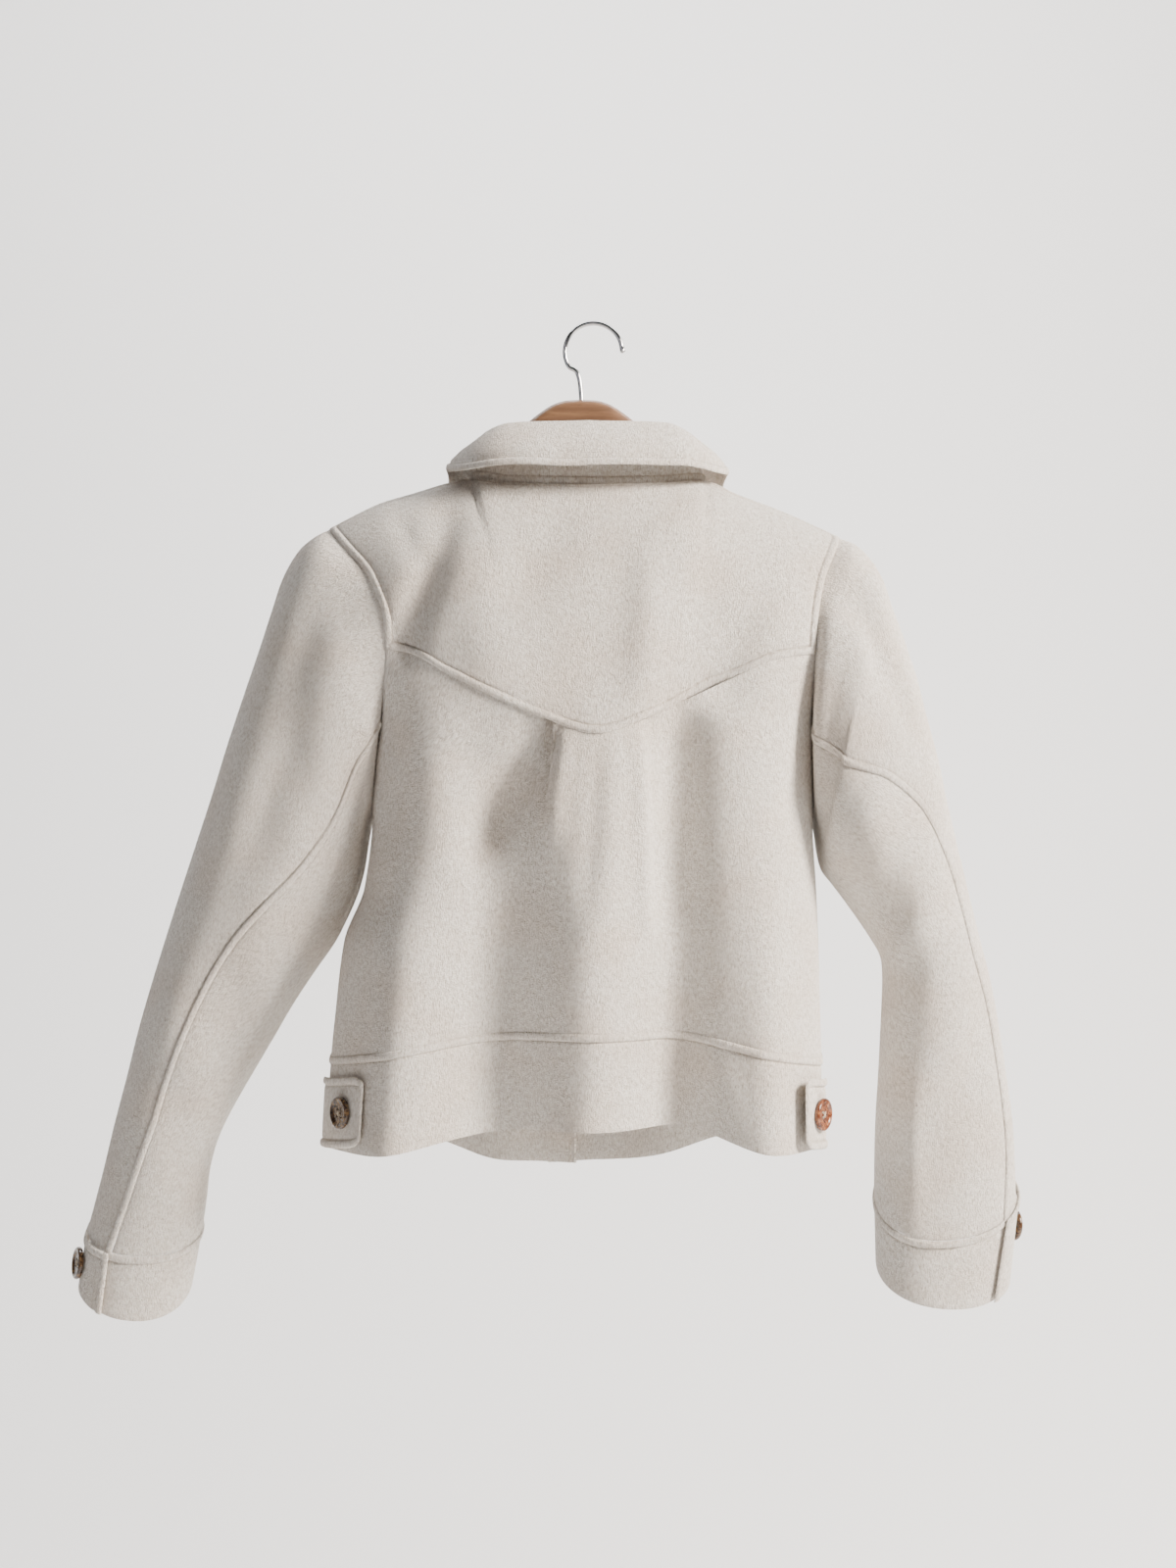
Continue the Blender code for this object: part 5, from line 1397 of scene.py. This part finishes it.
class Shader:
    """A small helper that builds one node material."""

    def __init__(self, name: str) -> None:
        self.material = bpy.data.materials.new(name)
        self.material.use_nodes = True
        self.tree = self.material.node_tree
        self.main = self.tree.nodes["Principled BSDF"]

    def add(self, kind: str, links: dict | None = None, values: dict | None = None,
            **settings) -> bpy.types.Node:
        """Add one node.

        Args:
            kind: Node type without the ShaderNode prefix.
            links: Output socket for each named or numbered input.
            values: Constant for each named or numbered input.
            settings: Properties of the node.

        Returns:
            The new node.
        """
        node = self.tree.nodes.new("ShaderNode" + kind)
        for name, value in settings.items():
            setattr(node, name, value)
        for key, value in (values or {}).items():
            node.inputs[key].default_value = value
        for key, socket in (links or {}).items():
            self.tree.links.new(socket, node.inputs[key])
        return node

    def math(self, operation: str, *inputs) -> bpy.types.NodeSocket:
        """Add a Math node whose inputs are sockets or numbers."""
        node = self.add("Math", operation=operation)
        for entry, value in zip(node.inputs, inputs):
            self.feed(entry, value)
        return node.outputs[0]

    def feed(self, entry: bpy.types.NodeSocket, value) -> None:
        """Give an input a socket, a number or an sRGB colour."""
        if isinstance(value, str):
            entry.default_value = linear(value)
        elif isinstance(value, (int, float)):
            entry.default_value = value
        else:
            self.tree.links.new(value, entry)

    def object_place(self) -> bpy.types.NodeSocket:
        """Add the place on the object, in metres."""
        return self.add("TexCoord").outputs["Object"]

    def scaled(self, vector: bpy.types.NodeSocket, *scale: float) -> bpy.types.NodeSocket:
        """Add a mapping that scales a vector along its three axes."""
        return self.add("Mapping", {0: vector}, {"Scale": scale}).outputs[0]

    def stops(self, factor: bpy.types.NodeSocket, colours: Sequence[tuple[float, tuple]],
              kind: str) -> bpy.types.NodeSocket:
        """Add a colour ramp with linear colours at places."""
        node = self.add("ValToRGB", {0: factor})
        node.color_ramp.interpolation = kind
        elements = node.color_ramp.elements
        while len(elements) < len(colours):
            elements.new(0.5)
        for element, (place, colour) in zip(elements, colours):
            element.position = place
            element.color = colour
        return node.outputs[0]

    def ramp(self, factor: bpy.types.NodeSocket, stops: Sequence[tuple[float, str]],
             ease: bool = False) -> bpy.types.NodeSocket:
        """Add a colour ramp with sRGB stops."""
        colours = [(place, linear(colour)) for place, colour in stops]
        return self.stops(factor, colours, "EASE" if ease else "LINEAR")

    def levels(self, factor: bpy.types.NodeSocket,
               stops: Sequence[tuple[float, float]]) -> bpy.types.NodeSocket:
        """Add a curve of plain values, as a colour ramp of greys."""
        return self.stops(factor, [(place, (value, value, value, 1.0)) for place, value in stops], "EASE")

    def noise(self, vector: bpy.types.NodeSocket, scale: float, detail: float, rough: float = 0.5,
              distortion: float = 0.0) -> bpy.types.NodeSocket:
        """Add a noise and return its value."""
        values = {"Scale": scale, "Detail": detail, "Roughness": rough, "Distortion": distortion}
        return self.add("TexNoise", {"Vector": vector}, values).outputs[0]

    def blend(self, factor, first, second) -> bpy.types.NodeSocket:
        """Add a colour mix of sockets or sRGB colours."""
        node = self.add("Mix", data_type="RGBA")
        for key, value in ((0, factor), (6, first), (7, second)):
            self.feed(node.inputs[key], value)
        return node.outputs[2]

    def bump(self, height: bpy.types.NodeSocket, distance: float, strength: float = 1.0,
             normal: bpy.types.NodeSocket | None = None) -> bpy.types.NodeSocket:
        """Add a bump whose full height is the distance, in metres."""
        links = {"Height": height}
        if normal is not None:
            links["Normal"] = normal
        return self.add("Bump", links, {"Distance": distance, "Strength": strength}).outputs[0]

    def finish(self, colour, normal=None, rough=None, **values: float) -> bpy.types.Material:
        """Join colour, roughness and normal to the shader and set its constants."""
        for name, value in (("Base Color", colour), ("Normal", normal), ("Roughness", rough)):
            if value is not None:
                self.feed(self.main.inputs[name], value)
        for name, value in values.items():
            self.main.inputs[name.replace("_", " ")].default_value = value
        return self.material


@dataclass(frozen=True)
class BrushedWool:
    """Cream double-faced wool: a milky felted nap, stray fibres and stitched welts, with painted shade
    along the groove beside each welt.
    """

    light: str = "#f8f3eb"
    warm: str = "#f1e7dc"
    shade: str = "#b9ab9b"
    speck: str = "#8d8072"
    # groove is a painted shade colour, laid along the stitched groove beside each welt
    groove: str = "#b5a594"
    nap_width: float = 0.0008
    nap_length: float = 0.0038
    felt: float = 0.0036
    grain: float = 0.0011
    mottle: float = 0.050
    dust_scale: tuple[float, float, float] = (820.0, 430.0, 1.0)
    dust_strength: float = 0.75
    tuft_strength: float = 0.34
    streak_strength: float = 0.62
    groove_shade_strength: float = 0.34
    welt_wander: float = 0.22
    stitch: float = 0.0042
    stitch_hole: float = 0.25
    prick_depth: float = 0.22
    seam_relief: float = 0.0005
    fuzz_relief: float = 0.0034
    fuzz_strength: float = 0.9
    nap_weight: float = 0.75
    felt_weight: float = 0.6
    grain_weight: float = 0.50

    def material(self) -> bpy.types.Material:
        """Return the wool, whose nap runs down the cloth map and whose welts follow the seams."""
        s = Shader("cream_brushed_wool")
        cloth = s.add("UVMap", uv_map="cloth").outputs[0]
        place = s.object_place()
        nap = s.noise(s.scaled(cloth, 1 / self.nap_width, 1 / self.nap_length, 1.0), 1.0, 3.0, 0.6, 0.6)
        felt = s.noise(cloth, 1 / self.felt, 4.0, 0.62, 0.4)
        grain = s.noise(cloth, 1 / self.grain, 2.0, 0.55)
        mottle = s.noise(place, 1 / self.mottle, 2.0, 0.5)
        colour = s.ramp(mottle, ((0.30, self.warm), (0.62, self.light)), True)
        tufts = s.math("MULTIPLY", s.levels(felt, ((0.38, 1.0), (0.56, 0.0))), self.tuft_strength)
        colour = s.blend(tufts, colour, self.shade)
        streaks = s.math("MULTIPLY", s.levels(nap, ((0.34, 1.0), (0.54, 0.0))), self.streak_strength)
        colour = s.blend(streaks, colour, self.shade)
        dust = s.noise(s.scaled(cloth, *self.dust_scale), 1.0, 1.0, 0.5, 1.2)
        specks = s.math("MULTIPLY", s.levels(dust, ((0.735, 0.0), (0.765, 1.0))), self.dust_strength)
        colour = s.blend(specks, colour, self.speck)
        seam = s.add("SeparateXYZ", {0: s.add("Attribute", attribute_name="seam").outputs["Vector"]})
        gap = s.math("DIVIDE", seam.outputs[0], WELT_WIDTH)
        wander = s.math("MULTIPLY", s.math("SUBTRACT", felt, 0.5), self.welt_wander)
        gap = s.math("ADD", gap, wander)
        near = s.math("MULTIPLY", gap, 0.5)
        welt = s.levels(near, ((0.0, 0.25), (0.07, 0.78), (0.25, 1.0), (0.42, 0.80), (0.50, 0.12),
                               (0.60, 0.42), (1.0, 0.45)))
        # The line mask follows the stitched groove: it sinks the stitch pricks and marks where painted
        # shade darkens the colour
        line = s.levels(near, ((0.41, 0.0), (0.49, 1.0), (0.52, 1.0), (0.60, 0.0)))
        beat = s.math("SINE", s.math("MULTIPLY", seam.outputs[1], 2 * math.pi / self.stitch))
        prick = s.math("MULTIPLY", line, s.math("GREATER_THAN", beat, self.stitch_hole))
        # Painted shade: the colour is darkened along the groove line, where the welt's shadow falls
        colour = s.blend(s.math("MULTIPLY", line, self.groove_shade_strength), colour, self.groove)
        height = s.math("SUBTRACT", welt, s.math("MULTIPLY", prick, self.prick_depth))
        normal = s.bump(height, self.seam_relief)
        long_nap, curls, short_nap = [s.math("MULTIPLY", value, weight) for value, weight in (
            (nap, self.nap_weight), (felt, self.felt_weight), (grain, self.grain_weight))]
        fuzz = s.math("ADD", s.math("ADD", long_nap, curls), short_nap)
        normal = s.bump(fuzz, self.fuzz_relief, self.fuzz_strength, normal)
        return s.finish(colour, normal, 0.95, Sheen_Weight=0.28, Sheen_Roughness=0.45,
                        Specular_IOR_Level=0.12)


@dataclass(frozen=True)
class Horn:
    """Polished horn: dark brown with pale clouds, and a gloss that shows it is hard."""

    name: str
    dark: str
    middle: str
    pale: str

    def material(self) -> bpy.types.Material:
        """Return the marbled horn."""
        s = Shader(self.name)
        place = s.object_place()
        cloud = s.noise(place, 150.0, 4.0, 0.6, 2.2)
        colour = s.ramp(cloud, ((0.34, self.dark), (0.52, self.middle), (0.70, self.pale)))
        lines = s.bump(s.noise(place, 900.0, 2.0), 0.00008, 0.6)
        return s.finish(colour, lines, 0.24, Coat_Weight=0.35, Coat_Roughness=0.12)


@dataclass(frozen=True)
class Beech:
    """Lacquered brown wood: long grain, darker pores and a soft shine along the top."""

    light: str = "#8e6c50"
    middle: str = "#775842"
    dark: str = "#59412f"
    grain_scale: tuple[float, float, float] = (9.0, 130.0, 120.0)
    pore_scale: tuple[float, float, float] = (160.0, 2200.0, 2200.0)
    pore_strength: float = 0.45
    pore_relief: float = 0.00012

    def material(self) -> bpy.types.Material:
        """Return the wood, whose grain runs along the arms."""
        s = Shader("lacquered_beech")
        place = s.object_place()
        grain = s.noise(s.scaled(place, *self.grain_scale), 1.0, 5.0, 0.6, 0.8)
        pores = s.noise(s.scaled(place, *self.pore_scale), 1.0, 2.0)
        colour = s.ramp(grain, ((0.30, self.dark), (0.48, self.middle), (0.68, self.light)))
        open_pores = s.math("MULTIPLY", s.levels(pores, ((0.60, 0.0), (0.68, 1.0))), self.pore_strength)
        colour = s.blend(open_pores, colour, self.dark)
        rough = s.levels(grain, ((0.3, 0.42), (0.7, 0.32)))
        normal = s.bump(pores, self.pore_relief, 0.5)
        return s.finish(colour, normal, rough, Coat_Weight=0.3, Coat_Roughness=0.2)


def chrome_wire() -> bpy.types.Material:
    """Return polished chrome with faint drawing marks, bright against the pale ground."""
    s = Shader("polished_chrome")
    place = s.object_place()
    marks = s.noise(place, 700.0, 2.0)
    rough = s.levels(marks, ((0.3, 0.08), (0.7, 0.20)))
    return s.finish("#c9c9cc", s.bump(marks, 0.00004, 0.5), rough, Metallic=1.0)


def sewing_thread() -> bpy.types.Material:
    """Return dull cream thread with a fine twist."""
    s = Shader("cream_thread")
    place = s.object_place()
    twist = s.noise(place, 2600.0, 1.0)
    return s.finish(s.ramp(twist, ((0.3, "#9c8c78"), (0.7, "#d2c5b2"))), s.bump(twist, 0.0001), 0.8)


class Lamp(NamedTuple):
    """A soft rectangular light: place, size, power, colour and the point it looks at."""

    name: str
    place: tuple[float, float, float]
    size: tuple[float, float]
    power: float
    colour: str
    aim: tuple[float, float, float]


@dataclass(frozen=True)
class Studio:
    """Pale sweep, soft lights and the camera in front of the jacket's back."""

    floor_drop: float = 1.30
    reach: float = 6.0
    back: float = 3.2
    curve: float = 2.4
    distance: float = 1.55
    height: float = -0.3598
    across: float = -0.0038
    view_height: float = 1.2304
    sensor: float = 36.0
    paper: str = "#f6f6f6"
    room: str = "#f3f5f8"
    room_strength: float = 0.06
    lamps: tuple[Lamp, ...] = (
        Lamp("window", (2.3, -1.05, 0.80), (0.7, 1.1), 300.0, "#fff4e8", (0.0, 0.0, -0.40)),
        Lamp("fill", (-1.6, -2.4, 0.3), (1.6, 1.6), 10.0, "#f4f2f6", (0.0, 0.0, -0.40)),
        Lamp("ground_light", (0.0, 0.75, 2.4), (4.0, 0.8), 190.0, "#ffffff", (0.0, 3.0, -0.3)),
    )

    def sweep(self) -> None:
        """Make the pale floor, which curves up behind the jacket."""
        turns = np.linspace(0, math.pi / 2, 25)
        bend = self.back - self.curve
        run = [(bend + self.curve * math.sin(t), self.curve * (1 - math.cos(t))) for t in turns]
        run = [(-self.reach, 0.0)] + run + [(self.back, self.reach)]
        rows = np.array([[(x, y, z - self.floor_drop) for x in np.linspace(-self.reach, self.reach, 9)]
                         for y, z in run])
        mesh = finished_mesh("studio_floor", bent_grid(rows))
        s = Shader("matt_white_paper")
        mesh.materials.append(s.finish(self.paper, None, 0.9, Specular_IOR_Level=0.1))
        item = bpy.data.objects.new("studio_floor", mesh)
        link(item)

    def light(self, lamp: Lamp) -> None:
        """Add one soft light."""
        area = bpy.data.lights.new(lamp.name, "AREA")
        area.shape = "RECTANGLE"
        area.size, area.size_y = lamp.size
        area.energy = lamp.power
        area.color = linear(lamp.colour)[:3]
        item = bpy.data.objects.new(lamp.name, area)
        item.location = lamp.place
        item.rotation_euler = (Vector(lamp.aim) - Vector(lamp.place)).to_track_quat("-Z", "Y").to_euler()
        link(item)

    def camera(self) -> None:
        """Place the camera at the photograph's angle, square to the jacket's back."""
        lens = bpy.data.cameras.new("camera")
        lens.sensor_width = self.sensor
        lens.lens = self.sensor * self.distance / self.view_height
        item = bpy.data.objects.new("camera", lens)
        item.location = (self.across, -self.distance, self.height)
        item.rotation_euler = (math.radians(90), 0.0, 0.0)
        link(item)
        bpy.context.scene.camera = item

    def world(self) -> None:
        """Give the room a soft white light of its own."""
        world = bpy.data.worlds.new("soft_room")
        world.use_nodes = True
        ground = world.node_tree.nodes["Background"]
        ground.inputs["Color"].default_value = linear(self.room)
        ground.inputs["Strength"].default_value = self.room_strength
        bpy.context.scene.world = world

    def build(self) -> None:
        """Make the whole studio."""
        self.camera()
        self.world()
        self.sweep()
        for lamp in self.lamps:
            self.light(lamp)


@dataclass(frozen=True)
class Buttons:
    """The places of the nine buttons on the tabs, the cuffs and the front."""

    form: JacketForm
    tab_along: tuple[float, float] = (0.68, 0.55)
    tab_clear: float = 0.0010
    cuff_angles: tuple[float, float] = (20.0, -8.0)
    cuff_down: float = 0.55
    cuff_near: float = 4.0
    cuff_clear: float = 0.0003
    front_first: float = 0.235
    front_last: float = 0.640
    front_count: int = 5
    front_clear: float = 0.0010

    def cuff_place(self, sleeve: Sleeve, angle: float) -> tuple[Grid, Grid]:
        """Return a point on a cuff and the outward direction there."""
        middle = sleeve.cuff_ring(self.cuff_down)

        def on_cuff(ring: Ring, angles: Sequence[float], lift: float = 0.0) -> Grid:
            """Return the cuff's points at angles of a ring."""
            return sleeve.points_at([ring], np.array([angles]), np.full((1, len(angles)), lift))[0]

        place = on_cuff(middle, [angle], self.form.layer + self.cuff_clear)[0]
        near = on_cuff(middle, [angle - self.cuff_near, angle + self.cuff_near])
        ends = [on_cuff(sleeve.cuff_ring(part), [angle])[0] for part in (0.0, 1.0)]
        inside = on_cuff(middle, [0.0, 180.0]).mean(axis=0)
        normal = np.cross(near[1] - near[0], ends[1] - ends[0])
        return place, normal if np.dot(normal, place - inside) > 0 else -normal

    def front_place(self, index: int) -> Grid:
        """Return a point on the lapped edge of the front."""
        drop = mix(self.front_first, self.front_last, index / (self.front_count - 1))
        x = self.form.centre_front
        lifted = self.form.depth_at(x, drop, Face.FRONT) + self.form.lap_rise(Side.RIGHT, x)
        return np.array([x, float(lifted + self.front_clear), -drop])

    def build(self, tabs: dict[Side, WaistTab], sleeves: dict[Side, Sleeve],
              thread: bpy.types.Material) -> None:
        """Sew the buttons on."""
        dark = Horn("dark_marbled_horn", "#1c120d", "#46301f", "#94754f").material()
        red = Horn("red_brown_horn", "#35160e", "#6e3a22", "#a5714a").material()
        button = Button()
        middle = tabs[Side.LEFT].top + tabs[Side.LEFT].height / 2
        for side, along, finish in zip(Side, self.tab_along, (dark, red)):
            place, normal = tabs[side].point(np.array(along), np.array(middle), self.tab_clear)
            button.build("button_tab_" + side.value, place, normal, finish, thread)
        for side, angle in zip(Side, self.cuff_angles):
            place, normal = self.cuff_place(sleeves[side], angle)
            button.build("button_cuff_" + side.value, place, normal, dark, thread)
        for index in range(self.front_count):
            button.build("button_front_%d" % (index + 1), self.front_place(index),
                         np.array([0.0, 1.0, 0.0]), dark, thread)


def main() -> None:
    """Build the studio and every piece of the jacket, in order."""
    logging.basicConfig(level=logging.INFO, format="%(name)s: %(message)s")
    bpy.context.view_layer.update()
    Studio().build()
    form = JacketForm()
    wool = BrushedWool().material()
    thread = sewing_thread()
    BackPanels(form).build(wool)
    FrontPanels(form).build(wool)
    sleeves = {Side.LEFT: Sleeve(form, Side.LEFT, LEFT_RINGS, LEFT_CUFF, LEFT_DENTS),
               Side.RIGHT: Sleeve(form, Side.RIGHT, RIGHT_RINGS, RIGHT_CUFF, RIGHT_DENTS)}
    for sleeve in sleeves.values():
        sleeve.build(wool)
    Collar(form).build(wool)
    tabs = {Side.LEFT: WaistTab(form, Side.LEFT, length=0.092, lift=0.0006, clear=0.0008),
            Side.RIGHT: WaistTab(form, Side.RIGHT, length=0.064, lift=0.0060, clear=0.0002)}
    for tab in tabs.values():
        tab.build(wool)
    Buttons(form).build(tabs, sleeves, thread)
    Hanger(form).build(Beech().material(), chrome_wire())
    LOG.info("jacket finished")


if __name__ == "__main__":
    main()
